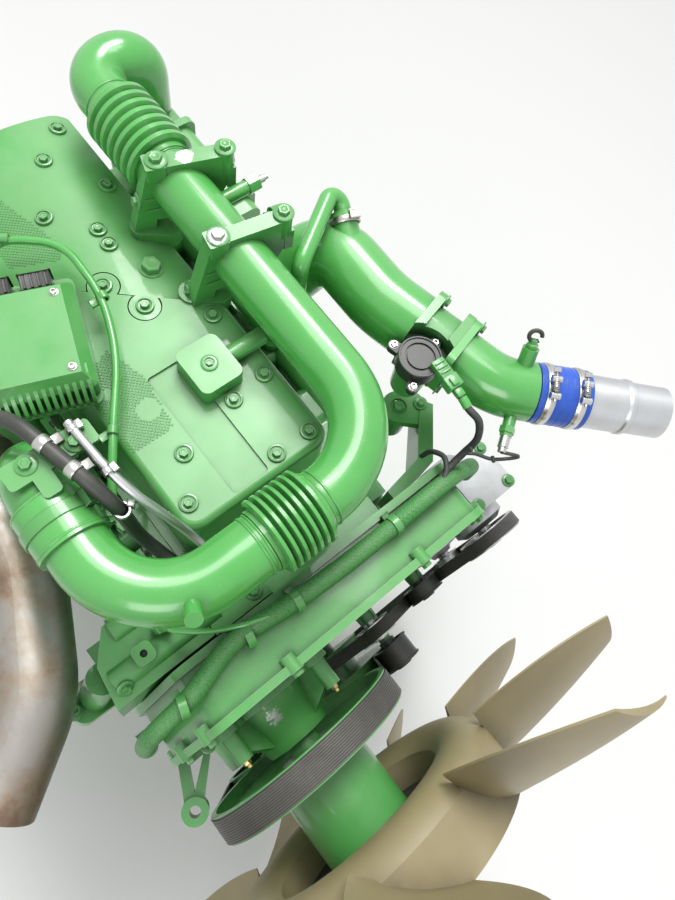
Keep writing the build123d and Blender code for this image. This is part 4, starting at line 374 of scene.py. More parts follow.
def makeBeltRubber():  # ribs run round the belt, so they change along X alone
    material, tree, surface = startMaterial("ribbed belt rubber", {})
    split = tree.nodes.new("ShaderNodeSeparateXYZ")
    tree.links.new(objectPlace(tree), split.inputs[0])
    phase = addMath(tree, "MULTIPLY", split.outputs["X"], 2 * math.pi / (beltLook["ribPitch"] * mm))
    rib = addMath(tree, "MULTIPLY_ADD", addMath(tree, "SINE", phase), 0.5, 0.5)
    dust = useGroup(tree, settledDust, Amount=0.35, Patch_Scale=16.0)["Mask"]
    grain = useGroup(tree, surfaceGrain, Fine_Scale=900.0, Fine_Depth=0.4, Wave_Scale=80.0, Wave_Depth=0.2)
    # painted light and shade on the ribs: rib tops lit, grooves dark
    ribbed = mixColour(tree, addMath(tree, "MULTIPLY", rib, 0.75), beltLook["dark"], beltLook["lit"])
    feed(tree, surface["Base Color"], mixColour(tree, dust, ribbed, beltLook["dust"]))
    feed(tree, surface["Roughness"], addMath(tree, "MULTIPLY_ADD", rib, -0.22, 0.60))
    addBump(tree, surface, addMath(tree, "MULTIPLY_ADD", rib, 1.6, grain["Height"]), 0.7, 0.0008)
    return material


heatTint = dict(clean=(0.37, 0.35, 0.32), straw=(0.29, 0.20, 0.12), violet=(0.17, 0.13, 0.12))


def makeHeatSteel():
    material, tree, surface = startMaterial("heat tinted steel", {"Metallic": 1.0})
    lines = useGroup(tree, drawnLines, Stretch=(0.2, 1.0, 1.0), Scale=300.0)["Lines"]
    grain = useGroup(tree, surfaceGrain, Fine_Scale=700.0, Fine_Depth=0.5, Wave_Scale=30.0, Wave_Depth=0.8)
    bands = addNoise(tree, 13.0, 5.0, 0.6)
    straw = addMath(tree, "MULTIPLY_ADD", bands, 4.2, -1.9, clamp=True)
    violet = addMath(tree, "MULTIPLY_ADD", bands, 5.0, -3.0, clamp=True)
    warm = mixColour(tree, straw, heatTint["clean"], heatTint["straw"])
    feed(tree, surface["Base Color"], mixColour(tree, violet, warm, heatTint["violet"]))
    rough = addMath(tree, "MULTIPLY_ADD", lines, 0.3, 0.28)
    feed(tree, surface["Roughness"], addMath(tree, "MULTIPLY_ADD", straw, 0.15, rough, clamp=True))
    addBump(tree, surface, grain["Height"], 0.35, 0.0006)
    return material


materials = {"ribbed belt rubber": makeBeltRubber(), "heat tinted steel": makeHeatSteel()}
for makeLook, looks in ((makePaint, paintLooks), (makeMetal, metalLooks), (makeMoulded, mouldedLooks),
                        (makeSleeve, sleeveLooks)):
    for name, look in looks.items():
        materials[name] = makeLook(name, look)
print("materials made,", len(materials))

nodeFinish = {  # every other solid has the enamel of the castings
    "green enamel on covers": ["front_rocker_cover", "rear_rocker_cover", "control_unit", "hose_clip_plate",
                               "gas_cooler", "control_unit_bracket"],
    "green enamel on pipes": ["crossover_pipe", "gas_pipe", "gas_riser", "gas_bellows", "rear_pipe",
                              "side_pipe", "breather_line", "mixing_pipe", "inlet_elbow"],
    "shaded green enamel": ["oil_pan", "oil_cooler", "engine_feet", "flywheel_housing", "starter_motor",
                            "fuel_pump", "exhaust_manifold", "fuel_filter_header", "front_support_bracket"],
    "cream enamel": ["oil_filter", "fuel_filters"],
    "tan fan nylon": ["fan"],
    "black moulded plastic": ["fan_plate", "tensioner_pulley", "fan_tensioner_pulley", "throttle_actuator"],
    "ribbed belt rubber": ["accessory_belt", "fan_belt"],
    "black hose rubber": ["coolant_hoses"],
    "blue silicone": ["charge_hose"],
    "bare aluminium": ["charge_tube", "vent_line"],
    "cast aluminium": ["alternator", "compressor"],
    "heat tinted steel": ["exhaust_elbow"],
    "machined steel": ["flywheel", "idler_pulley", "alternator_pulley", "compressor_pulley"],
    "bare cast iron": ["turbocharger"],
    "painted sleeve": ["wiring_loom"],
}
finishOf = {node: finish for finish, members in nodeFinish.items() for node in members}
for name, solid in nodes.items():
    finish = materials[finishOf.get(name, "green enamel on castings")]
    if not solid.material_slots:
        solid.data.materials.append(finish)
    for materialSlot in solid.material_slots:
        materialSlot.material = finish
print("solids painted")


# Shapes shared by the small pieces
def standing(place, direction, turn=0.0):  # place in metres, Z along the direction
    axis = Vector(direction).normalized().to_track_quat("Z", "Y").to_matrix().to_4x4()
    return Matrix.Translation(place) @ (axis @ Matrix.Rotation(turn, 4, "Z"))


def placed(centre, direction, turn=0.0):  # centre in millimetres
    return standing(Vector(centre) * mm, direction, turn)


def levelAxes(degrees):  # X and Y turned about Z
    turn = math.radians(degrees)
    return Vector((math.cos(turn), math.sin(turn), 0)), Vector((-math.sin(turn), math.cos(turn), 0))


def circleAngles(count):
    return [2 * math.pi * step / count for step in range(count)]


def seatOn(name, start, direction=(0, 0, -1)):  # where a ray meets the solid
    hit, place, normal, index = nodes[name].ray_cast(Vector(start) * mm, Vector(direction).normalized())
    if not hit:
        print("nothing of", name, "is under", start)
        return None, None
    return place, normal


def addLathe(mesh, profile, segments, matrix):  # profile: radius, height pairs in millimetres
    rings = []
    for radius, height in profile:
        if radius <= 1e-6:
            rings.append([mesh.verts.new(matrix @ Vector((0, 0, height * mm)))])
            continue
        rings.append([])
        for angle in circleAngles(segments):
            spot = Vector((radius * math.cos(angle), radius * math.sin(angle), height)) * mm
            rings[-1].append(mesh.verts.new(matrix @ spot))
    for lower, upper in zip(rings, rings[1:]):
        for step in range(segments):
            after = (step + 1) % segments
            corners = dict.fromkeys([lower[step % len(lower)], lower[after % len(lower)],
                                     upper[after % len(upper)], upper[step % len(upper)]])
            if len(corners) > 2:
                mesh.faces.new(list(corners))


def addHexBolt(mesh, place, direction, across=13.0, turn=0.3, washer=True, head=None, lift=0.0):
    matrix = standing(place, direction, turn)
    height = head or across * 0.55
    if washer:
        addLathe(mesh, [(0, lift - 0.6), (across * 0.98, lift - 0.6), (across * 0.98, lift + across * 0.10),
                        (across * 0.90, lift + across * 0.16), (across * 0.5, lift + across * 0.18)],
                 28, matrix)
    corner = across / math.sqrt(3)
    low = lift + (across * 0.1 if washer else -0.6)
    top = lift + height
    addLathe(mesh, [(0, low), (corner, low), (corner, top - height * 0.14), (corner * 0.90, top),
                    (corner * 0.62, top), (corner * 0.5, top - 0.7), (0, top - 0.9)], 6, matrix)


def addSeatedBolt(mesh, solid, start, direction=(0, 0, -1), **options):
    place, normal = seatOn(solid, start, direction)
    if place is not None:
        addHexBolt(mesh, place, normal, **options)


def addSocketScrew(mesh, place, direction, radius, height):
    addLathe(mesh, [(0, -0.5), (radius * 1.25, -0.5), (radius * 1.25, 0.8), (radius, 1.0),
                    (radius, height - 0.8), (radius - 0.8, height), (radius * 0.55, height),
                    (radius * 0.5, height * 0.45), (0, height * 0.45)], 20, standing(place, direction))


def addStud(mesh, place, direction, length, radius, pitch=1.4):  # threaded end, one ring each pitch
    profile = [(0, -0.5)]
    for step in range(int(length / pitch)):
        profile += [(radius, step * pitch), (radius * 0.88, step * pitch + pitch / 2)]
    addLathe(mesh, profile + [(radius * 0.8, length), (0, length)], 14, standing(place, direction))


def addBlock(mesh, matrix, size, bevel=1.0):  # box centred on the matrix, size in millimetres
    made = bmesh.ops.create_cube(mesh, size=1.0)["verts"]
    for vert in made:
        vert.co = matrix @ (Vector([part * side for part, side in zip(vert.co, size)]) * mm)
    edges = list({edge for vert in made for edge in vert.link_edges})
    bmesh.ops.bevel(mesh, geom=edges, offset=bevel * mm, segments=2, profile=0.5, affect="EDGES")


def addLevelBlock(mesh, centre, size, turn=0.0, bevel=1.0):
    addBlock(mesh, placed(centre, (0, 0, 1), turn), size, bevel)


def addTube(mesh, points, radius, segments=12):  # swept ring along the points, in millimetres
    path = [Vector(point) * mm for point in points]
    rings = []
    side = None
    for index, place in enumerate(path):
        along = (path[min(index + 1, len(path) - 1)] - path[max(index - 1, 0)]).normalized()
        if side is None:
            side = along.orthogonal().normalized()
        side = (side - along * side.dot(along)).normalized()
        up = along.cross(side)
        rings.append([mesh.verts.new(place + (side * math.cos(angle) + up * math.sin(angle)) * radius * mm)
                      for angle in circleAngles(segments)])
    for lower, upper in zip(rings, rings[1:]):
        for step in range(segments):
            after = (step + 1) % segments
            mesh.faces.new((lower[step], lower[after], upper[after], upper[step]))
    mesh.faces.new(list(reversed(rings[0])))
    mesh.faces.new(rings[-1])


def smoothLine(points):  # Catmull-Rom through the points
    line = [Vector(point) for point in points]
    line = [line[0] * 2 - line[1]] + line + [line[-1] * 2 - line[-2]]
    steps = 8
    result = []
    for index in range(1, len(line) - 2):
        first, second, third, fourth = line[index - 1:index + 3]
        for step in range(steps):
            part = step / steps
            linear = (third - first) * part
            square = (2 * first - 5 * second + 4 * third - fourth) * part ** 2
            cube = (3 * second - first - 3 * third + fourth) * part ** 3
            result.append(0.5 * (2 * second + linear + square + cube))
    return result + [line[-2]]


def addRing(mesh, centre, axis, radius, width, rise, segments=48):  # flat band round a pipe
    half, top, shoulder = width / 2, radius + rise, radius + rise * 0.6
    addLathe(mesh, [(radius - 1.5, -half), (shoulder, -half), (top, -half + 0.8), (top, half - 0.8),
                    (shoulder, half), (radius - 1.5, half)], segments, placed(centre, axis))


def addBead(mesh, centre, axis, radius, size):  # rounded weld or rolled bead
    angles = [math.pi * step / 6 for step in range(7)]
    profile = [(radius - 0.6 + size * math.sin(angle), -size * math.cos(angle)) for angle in angles]
    addLathe(mesh, profile, 56, placed(centre, axis))


def finishPiece(name, mesh, material, body="engine", smooth=True):
    bmesh.ops.recalc_face_normals(mesh, faces=mesh.faces)
    data = bpy.data.meshes.new(name)
    mesh.to_mesh(data)
    mesh.free()
    piece = bpy.data.objects.new(name, data)
    bpy.context.scene.collection.objects.link(piece)
    data.materials.append(materials[material])
    if smooth:
        for face in data.polygons:
            face.use_smooth = True
        data.set_sharp_from_angle(angle=math.radians(35))
    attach(piece, body)


# Rocker covers
rayTop = 900  # above everything that a bolt or stud is set on from above
coverStuds = {
    "radius": 14.0, "height": 7.0, "across": 12.0, "head": 6.0,
    "front": [(733, 42), (838, 42), (760, -65), (725, 104), (838, 102), (824, -102), (466, -7), (600, 100)],
    "rear": [(215, 44), (373, 43), (405, 42), (313, -14), (529, 25), (160, -100), (300, -105),
             (160, 100), (300, 104)],
}
largeBolts = [  # cover, place, washer's profile and segments, and the bolt on it
    ("rear_rocker_cover", (474, 72), [(0, -1), (19, -1), (19, 1.6), (18, 2.4), (12, 2.6)], 40,
     dict(across=27.0, head=12.0, turn=0.2, lift=2.0)),
    ("front_rocker_cover", (676, 40),
     [(0, -1), (13, -1), (13, 1.8), (11.5, 2.6), (8, 2.6), (7.6, 0.8), (0, 0.8)], 32,
     dict(across=10.0, head=3.4, lift=0.8)),
]


def makeCoverStuds():
    rings, heads, washers = bmesh.new(), bmesh.new(), bmesh.new()
    radius, height = coverStuds["radius"], coverStuds["height"]
    profile = [(0, -1), (radius, -1), (radius, height * 0.35), (radius * 0.94, height * 0.6),
               (radius * 0.78, height * 0.66), (radius * 0.74, height * 0.4), (radius * 0.60, height * 0.35),
               (0, height * 0.35)]
    for cover in ("front", "rear"):
        for x, y in coverStuds[cover]:
            place, normal = seatOn(cover + "_rocker_cover", (x, y, rayTop))
            if place is not None:
                addLathe(rings, profile, 32, standing(place, normal))
                addHexBolt(heads, place + normal * height * 0.35 * mm, normal, across=coverStuds["across"],
                           head=coverStuds["head"], turn=x * 0.37, washer=False)
    for cover, (x, y), profile, segments, bolt in largeBolts:
        place, normal = seatOn(cover, (x, y, rayTop))
        if place is not None:
            addLathe(washers, profile, segments, standing(place, normal))
            addHexBolt(washers, place, normal, washer=False, **bolt)
    finishPiece("cover_grommets", rings, "green enamel on covers")
    finishPiece("cover_bolts", heads, "green enamel on covers")
    finishPiece("large_cover_bolts", washers, "green enamel on covers")


nonSlip = {  # small pyramids inside the outlines, away from the gaps: x, y, reach
    "pitch": 6.2, "base": 2.6, "height": 1.0, "flat": 0.7,
    "front": [(587, -121), (559, -62), (589, -53), (631, -42), (717, -52), (718, -122), (607, -122)],
    "rear": [(180, -100), (200, -60), (269, -45), (304, -35), (377, -17), (391, -36), (356, -100)],
    "gaps": [(674, -66, 17), (622, -101, 9)],
}


def insideShape(x, y, shape):
    inside = False
    for (firstX, firstY), (secondX, secondY) in zip(shape, shape[1:] + shape[:1]):
        crosses = (firstY > y) != (secondY > y)
        if crosses and x < (secondX - firstX) * (y - firstY) / (secondY - firstY) + firstX:
            inside = not inside
    return inside


def makeNonSlip():
    mesh = bmesh.new()
    pitch, base, height = nonSlip["pitch"], nonSlip["base"], nonSlip["height"]
    for cover in ("front", "rear"):
        shape = nonSlip[cover]
        lowX, highX = min(p[0] for p in shape), max(p[0] for p in shape)
        lowY, highY = min(p[1] for p in shape), max(p[1] for p in shape)
        for row in range(int((highY - lowY) / (pitch / 2)) + 1):
            y = lowY + row * pitch / 2
            for column in range(int((highX - lowX) / pitch) + 1):
                x = lowX + (pitch / 2 if row % 2 else 0) + column * pitch
                clear = all(math.hypot(x - gapX, y - gapY) > reach for gapX, gapY, reach in nonSlip["gaps"])
                if not clear or not insideShape(x, y, shape):
                    continue
                place, normal = seatOn(cover + "_rocker_cover", (x, y, rayTop))
                if place is not None and normal.z > nonSlip["flat"]:
                    addLathe(mesh, [(base, -0.3), (base * 0.45, height), (0, height)], 4,
                             standing(place, normal))
    finishPiece("non_slip_studs", mesh, "green enamel on covers", smooth=False)


makeCoverStuds()
makeNonSlip()
print("rocker covers dressed")

# Bolts of the castings
cylinderPlaces = [176 + 146 * index for index in range(6)]  # along the crankshaft
boltsFromAbove = [  # solid, height that the rays start from, and x, y and size across flats of each bolt
    ("pipe_brackets", rayTop, [(568, 135, 17), (415, 137, 17), (585, 237, 16), (447, 235, 16), (549, 95, 14),
                               (406, 102, 14)]),
    ("hose_clip_plate", rayTop, [(706, -240, 14), (714, -180, 14)]),
    ("lifting_brackets", rayTop, [(861, 309, 18), (880, 345, 13)]),
    ("water_outlet", rayTop, [(967, -92, 14), (925, -92, 14), (918, -215, 13), (966, -312, 13)]),
    ("water_outlet", 600, [(938, -396, 15)]),
    ("front_support_bracket", 600, [(1103, -277, 13)]),
    ("gas_riser", 520, [(631, -242, 13), (721, -242, 13), (631, -190, 13), (721, -190, 13)]),
    ("fuel_filter_header", 400, [(440, 258, 13), (600, 258, 13)]),
    ("compressor", 500, [(1004, 345, 13), (1085, 345, 13), (1004, 425, 13), (1085, 425, 13)]),
]
castingBolts = {
    "gearBosses": [(-170, -119), (170, -119), (262, -20), (305, 120), (305, 440), (262, 590), (-240, 590),
                   (-322, 455), (-322, 180), (-250, -20)],  # y, z of the corners of the gear housing's lip
    "gearShares": (0.25, 0.75), "gearAcross": 14, "gearHead": 9,
    "footPlaces": (806, 884), "footSide": 420, "footHeight": 22, "footAcross": 18,
    "panCount": 14, "panInset": 0.03, "panLip": 7, "panAcross": 11,
    "manifoldSide": -192, "manifoldHeight": 440, "manifoldPairs": ((-34, 22), (34, -22)),
    "actuator": [(813.7, 281.9, 800), (848.4, 337.3, 800), (883.7, 259.8, 800)],
}


def makeCastingBolts():
    mesh, screws = bmesh.new(), bmesh.new()
    look = castingBolts
    for solid, height, bolts in boltsFromAbove:
        for x, y, across in bolts:
            addSeatedBolt(mesh, solid, (x, y, height), across=across, turn=y * 0.1)
    for side in (-1, 1):
        for x in look["footPlaces"]:
            y = side * look["footSide"]
            addSeatedBolt(mesh, "engine_feet", (x, y, look["footHeight"]), (0, -side, 0),
                          across=look["footAcross"], turn=y * 0.1)
    bosses = look["gearBosses"]
    for (firstY, firstZ), (secondY, secondZ) in zip(bosses, bosses[1:] + bosses[:1]):
        for share in look["gearShares"]:
            y, z = firstY + (secondY - firstY) * share, firstZ + (secondZ - firstZ) * share
            addSeatedBolt(mesh, "gear_housing", (1300, y, z), (-1, 0, 0), across=look["gearAcross"],
                          turn=y * 0.1, head=look["gearHead"])
    (rear, _, _), (front, side, _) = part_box("oil_pan")
    inset, count = look["panInset"], look["panCount"]
    for sign in (-1, 1):
        for step in range(count):
            x = (rear + inset + (front - rear - 2 * inset) * step / (count - 1)) / mm
            addSeatedBolt(mesh, "oil_pan", (x, sign * (side / mm - look["panLip"]), -400), (0, 0, 1),
                          across=look["panAcross"], turn=step)
    for cylinder, middle in enumerate(cylinderPlaces):
        for spread, rise in look["manifoldPairs"]:
            start = (middle + spread, look["manifoldSide"], look["manifoldHeight"] + rise)
            addSeatedBolt(mesh, "exhaust_manifold", start, (0, 1, 0), across=13, turn=cylinder)
    for start in look["actuator"]:
        place, normal = seatOn("throttle_actuator", start)
        if place is not None:
            addSocketScrew(screws, place, normal, 5.5, 5.0)
    finishPiece("casting_bolts", mesh, "green enamel on castings")
    finishPiece("actuator_screws", screws, "zinc plated steel")


makeCastingBolts()
print("bolts set")

# Exhaust gas pipes: weld beads, band clamps, the pressure port's tip and the isolators of the brackets
gasPipe = {
    "height": 740, "radius": 42, "bead": 2.2,
    "crossX": 940, "crossBeads": (-69, -77, 23, 31),  # pipe across the engine: its x, and y of each bead
    "sideY": 163, "sideBeads": (397, 405, 255, 247),  # pipe along the side: its y, and x of each bead
    "riserY": -248, "riserBeads": (744, 802), "riserBeadRadius": 47.6,
    "clamps": [  # centre, radius, width and rise of the band, then centre, lean and size of its lug
        ((773, -248, 740), 48, 16, 2.4, (773, -205, 772), (0, 0.7, 0.7), (20, 14, 12)),
        ((630, -330, 562), 60.5, 20, 5.0, (630, -296, 622), (0, 0.5, 0.85), (22, 16, 14)),
    ],
    "tip": [(0, -1), (6, -1), (6, 12), (4.2, 13), (4.2, 19), (0, 19.5)], "tipPlace": (484, 268, 740),
}
isolators = {
    "pads": ((415.0, 18.0), (568.0, 10.0)),  # x of each bracket's pad and how far its arm turns
    "arm": 88, "beside": 24, "rise": 6, "reach": 36, "boltAcross": 13, "nutAcross": 15,
    "saddleHalf": 30, "jointHeights": (-32, -8), "jointSize": (26, 46, 2.4),
}


def makePipeDetails():
    beads, tips, bands = bmesh.new(), bmesh.new(), bmesh.new()
    height, radius, size = gasPipe["height"], gasPipe["radius"], gasPipe["bead"]
    for y in gasPipe["crossBeads"]:
        addBead(beads, (gasPipe["crossX"], y, height), (0, 1, 0), radius, size)
    for x in gasPipe["sideBeads"]:
        addBead(beads, (x, gasPipe["sideY"], height), (1, 0, 0), radius, size)
    for x in gasPipe["riserBeads"]:
        addBead(beads, (x, gasPipe["riserY"], height), (1, 0, 0), gasPipe["riserBeadRadius"], 2.0)
    for centre, reach, width, rise, lug, lean, lugSize in gasPipe["clamps"]:
        addRing(bands, centre, (1, 0, 0), reach, width, rise)
        addBlock(bands, placed(lug, lean), lugSize, bevel=1.5)
    addLathe(tips, gasPipe["tip"], 18, placed(gasPipe["tipPlace"], (0, 1, 0)))
    finishPiece("pipe_weld_beads", beads, "green enamel on pipes")
    finishPiece("pipe_band_clamps", bands, "green enamel on castings")
    finishPiece("pressure_port_tip", tips, "zinc plated steel")


def makeIsolators():  # bolt through each bracket's rubber lobe, and the saddle's joint lines
    bolts, nuts = bmesh.new(), bmesh.new()
    for padX, skew in isolators["pads"]:
        lean = math.radians(skew)
        along, across = levelAxes(-skew)
        half = isolators["saddleHalf"]
        middle = Vector((padX + half * math.tan(lean), gasPipe["sideY"], gasPipe["height"]))
        lobe = middle + across * isolators["arm"] - along * isolators["beside"]
        lobe += Vector((0, 0, isolators["rise"]))
        addHexBolt(bolts, (lobe - across * isolators["reach"]) * mm, -across,
                   across=isolators["boltAcross"], turn=0.2)
        addHexBolt(nuts, lobe * mm, across, across=isolators["nutAcross"], turn=0.5)
        for height in isolators["jointHeights"]:
            spot = middle - across * half + Vector((0, 0, height))
            addLevelBlock(bolts, spot, isolators["jointSize"], -lean, bevel=0.8)
    finishPiece("isolator_bolts", bolts, "green enamel on castings")
    finishPiece("isolator_nuts", nuts, "zinc plated steel")


makePipeDetails()
makeIsolators()
print("gas pipe dressed")

# Charge air path, along the hose's axis
hoseStart = Vector((1017.823, 450.522, 670.0))
hoseAlong = Vector((math.sqrt(0.5), math.sqrt(0.5), 0))
hoseSide = Vector((-math.sqrt(0.5), math.sqrt(0.5), 0))
hoseClamps = {
    "radius": 48.0, "places": (-14.0, 36.0), "width": 15.0, "rise": 1.2,
    "edges": (-30.5, 51.5), "ribs": (8, 20),  # rolled edges of the hose and ribs moulded round it
    "lean": -0.25, "standOff": 7, "pins": (-13, 13), "pinRadius": 5.5, "pinHalf": 7.5,
    "boltStart": 22, "boltLength": 52, "boltRadius": 2.6, "headPlace": 24,
    "coils": 8, "coilSteps": 14, "coilRadius": 5.0, "coilStart": -6, "coilLength": 24, "wire": 1.1,
}


def makeHoseClamps():
    bands, bolts, edges = bmesh.new(), bmesh.new(), bmesh.new()
    look = hoseClamps
    radius = look["radius"]
    for reach in look["edges"]:
        addBead(edges, hoseStart + hoseAlong * reach, hoseAlong, radius - 1.2, 1.6)
    for reach in look["ribs"]:
        addBead(edges, hoseStart + hoseAlong * reach, hoseAlong, radius - 0.3, 1.4)
    stand = (hoseSide * look["lean"] + Vector((0, 0, 0.97))).normalized()
    boltAxis = stand.cross(hoseAlong).normalized()
    turns = look["coils"] * look["coilSteps"]
    across, half = look["pinRadius"], look["pinHalf"]
    pin = [(0, -half), (across, -half), (across, half), (0, half)]
    for place in look["places"]:
        centre = hoseStart + hoseAlong * place
        addRing(bands, centre, hoseAlong, radius, look["width"], look["rise"])
        addRing(bands, centre, hoseAlong, radius + 1, look["width"] * 0.5, 1.0)
        seat = centre + stand * (radius + look["standOff"])
        for end in look["pins"]:
            addLathe(bolts, pin, 18, placed(seat + boltAxis * end, hoseAlong))
        addStud(bolts, (seat - boltAxis * look["boltStart"]) * mm, boltAxis, look["boltLength"],
                look["boltRadius"])
        addHexBolt(bolts, (seat + boltAxis * look["headPlace"]) * mm, boltAxis, across=10, washer=False,
                   head=7)
        spring = []
        for step in range(turns + 1):
            angle = 2 * math.pi * step / look["coilSteps"]
            ring = (hoseAlong * math.cos(angle) + stand * math.sin(angle)) * look["coilRadius"]
            reach = look["coilStart"] + step * look["coilLength"] / turns
            spring.append(seat + boltAxis * reach + ring)
        addTube(bolts, spring, look["wire"], segments=6)
    finishPiece("hose_clamp_bands", bands, "zinc plated steel")
    finishPiece("hose_clamp_bolts", bolts, "zinc plated steel")
    finishPiece("hose_ribs", edges, "blue silicone")


throttle = {
    "rear": (802, 350, 670), "turn": 14, "boltAcross": 12,
    "flanges": ((15, 1, 43), (84, 1, 42)),  # place along the body, way the bolts face, half their square
    "corners": ((1, 1), (1, -1), (-1, -1)),
    "rimPlace": (856, 294, 716.9), "capPlace": (856, 294, 714.0),
    "rim": [(31, 0), (34.5, 0), (34.5, 1.6), (33.4, 2.6), (31.6, 2.6), (31, 1.6)],
    "cap": [(0, 0), (17, 0), (17, 1.0), (15.8, 1.8), (0, 1.8)],
    "plugPlace": (893, 304, 722), "plugTurn": -4,
    "plug": [  # place from the plug's middle, size and bevel of each block
        ((0, 0, 0), (34, 22, 15), 2), ((24, 0, -1), (22, 25, 19), 2), ((25, 0, 10), (14, 12, 5), 1),
        ((-10, 0, 8), (3, 18, 4), 0.8), ((-2, 0, 8), (3, 18, 4), 0.8), ((6, 0, 8), (3, 18, 4), 0.8),
        ((42, 0, -2), (16, 14, 12), 3),
    ],
}


def makeThrottleDetails():
    mesh, plug, rim = bmesh.new(), bmesh.new(), bmesh.new()
    along, across = levelAxes(throttle["turn"])
    for reach, facing, half in throttle["flanges"]:
        for sideShare, heightShare in throttle["corners"]:
            spot = Vector(throttle["rear"]) + along * reach + across * half * sideShare
            spot += Vector((0, 0, half * heightShare))
            addHexBolt(mesh, spot * mm, along * facing, across=throttle["boltAcross"], turn=0.4)
    addLathe(rim, throttle["rim"], 56, placed(throttle["rimPlace"], (0, 0, 1)))
    addLathe(rim, throttle["cap"], 40, placed(throttle["capPlace"], (0, 0, 1)))
    base = Matrix.Translation(Vector(throttle["plugPlace"]) * mm)
    base = base @ Matrix.Rotation(math.radians(throttle["plugTurn"]), 4, "Z")
    for offset, size, bevel in throttle["plug"]:
        addBlock(plug, base @ Matrix.Translation(Vector(offset) * mm), size, bevel=bevel)
    finishPiece("throttle_bolts", mesh, "green enamel on castings")
    finishPiece("actuator_rim", rim, "black moulded plastic")
    finishPiece("actuator_connector", plug, "green enamel on covers")


elbow = {
    "corner": (955.598, 388.296, 670), "port": 36,
    "lowOffset": (20, -30, -6), "lowAxis": (0.55, -0.82, -0.12), "lowEnd": 70,
    "lowCollar": [(0, 28), (12.5, 28), (12.5, 38), (10, 40), (10, 44), (0, 44)],
    "sensor": [(0, 43), (8.5, 43), (8.5, 62), (6.5, 64), (6.5, 70), (0, 71)],
    "topOffset": (-20, 14, 32), "topAxis": (-0.4, 0.4, 0.82),
    "topCollar": [(0, 32), (10, 32), (10, 40), (7, 42), (7, 48), (0, 49)],
    "clipHeight": 54, "clipWidth": 10, "clipRise": 9, "clipTurn": 1.75, "clipWire": 3.4,
}
elbowPort = Vector(elbow["corner"]) + hoseAlong * elbow["port"]
lowPort, lowAxis = elbowPort + Vector(elbow["lowOffset"]), Vector(elbow["lowAxis"]).normalized()
sensorEnd = lowPort + lowAxis * elbow["lowEnd"]


def makeElbowSensors():
    metal, collars, ring = bmesh.new(), bmesh.new(), bmesh.new()
    top, topAxis = elbowPort + Vector(elbow["topOffset"]), Vector(elbow["topAxis"]).normalized()
    addLathe(collars, elbow["lowCollar"], 6, placed(lowPort, lowAxis))
    addLathe(metal, elbow["sensor"], 22, placed(lowPort, lowAxis))
    addLathe(collars, elbow["topCollar"], 6, placed(top, topAxis))
    loop = []
    for step in range(29):
        angle = math.pi * elbow["clipTurn"] * step / 28
        rise = topAxis * (elbow["clipHeight"] + elbow["clipRise"] * math.sin(angle))
        loop.append(top + rise + hoseAlong * elbow["clipWidth"] * math.cos(angle))
    addTube(ring, loop, elbow["clipWire"], segments=10)
    finishPiece("elbow_sensor_collars", collars, "green enamel on castings")
    finishPiece("elbow_sensor", metal, "zinc plated steel")
    finishPiece("hose_top_clip", ring, "black hose rubber")


makeHoseClamps()
makeThrottleDetails()
makeElbowSensors()
print("charge air path dressed")

# Cables, small pipes and the clips that hold them
leads = {  # radius, then the points that each passes through
    "dark": [
        (3.0, [sensorEnd, (1062, 352, 640), (1040, 322, 628), (1012, 306, 618), (1002, 280, 612),
               (1022, 200, 622)]),
        (6.0, [(941, 300, 720), (962, 298, 716), (985, 306, 700), (1002, 300, 672), (1004, 284, 640),
               (1006, 262, 622), (1012, 236, 616)]),
        (4.5, [(960, 262, 560), (968, 262, 600), (990, 262, 622), (1012, 244, 622), (1020, 214, 620)]),
    ],
    "painted": [
        (7.5, [(944, 300, 720), (952, 299, 719), (960, 298, 717)]),
        (4.2, [(934, -222, 588), (948, -214, 594), (978, -178, 604), (1000, -140, 622), (1014, -104, 622)]),
    ],
}
loomClips = [((1020, -57, 612), (0.1, 1, 0)), ((1023, 130, 613), (0, 1, 0)), ((1018, -140, 613), (0.2, 1, 0)),
             ((1036, -262, 614), (0.3, 1, -0.05)), ((1045, -345, 450), (0, 0, 1))]  # centre and axis
leadTies = [(1040, 322, 628), (1006, 290, 655)]
boilSensor = {"place": (926, -226, 576), "axis": (0.45, 0.45, 0.75),
              "profile": [(0, -8), (13, -8), (13, 2), (10, 4), (10, 16), (6, 18), (0, 19)]}


def makeCables():
    dark, painted, clips, ties = bmesh.new(), bmesh.new(), bmesh.new(), bmesh.new()
    for mesh, group in ((dark, "dark"), (painted, "painted")):
        for radius, points in leads[group]:
            addTube(mesh, smoothLine(points), radius)
    addLathe(painted, boilSensor["profile"], 6, placed(boilSensor["place"], boilSensor["axis"]))
    for (x, y, z), axis in loomClips:
        addRing(clips, (x, y, z), axis, 14.6, 12, 1.6, segments=32)
        addLevelBlock(clips, (x - 16, y, z - 10), (14, 12, 5))
    for place in leadTies:
        addRing(ties, place, (0.4, 1, 0.2), 5, 4, 1.0, segments=16)
    finishPiece("dark_leads", dark, "black sleeve")
    finishPiece("painted_leads", painted, "green enamel on pipes")
    finishPiece("loom_clips", clips, "green enamel on castings")
    finishPiece("lead_ties", ties, "black moulded plastic")


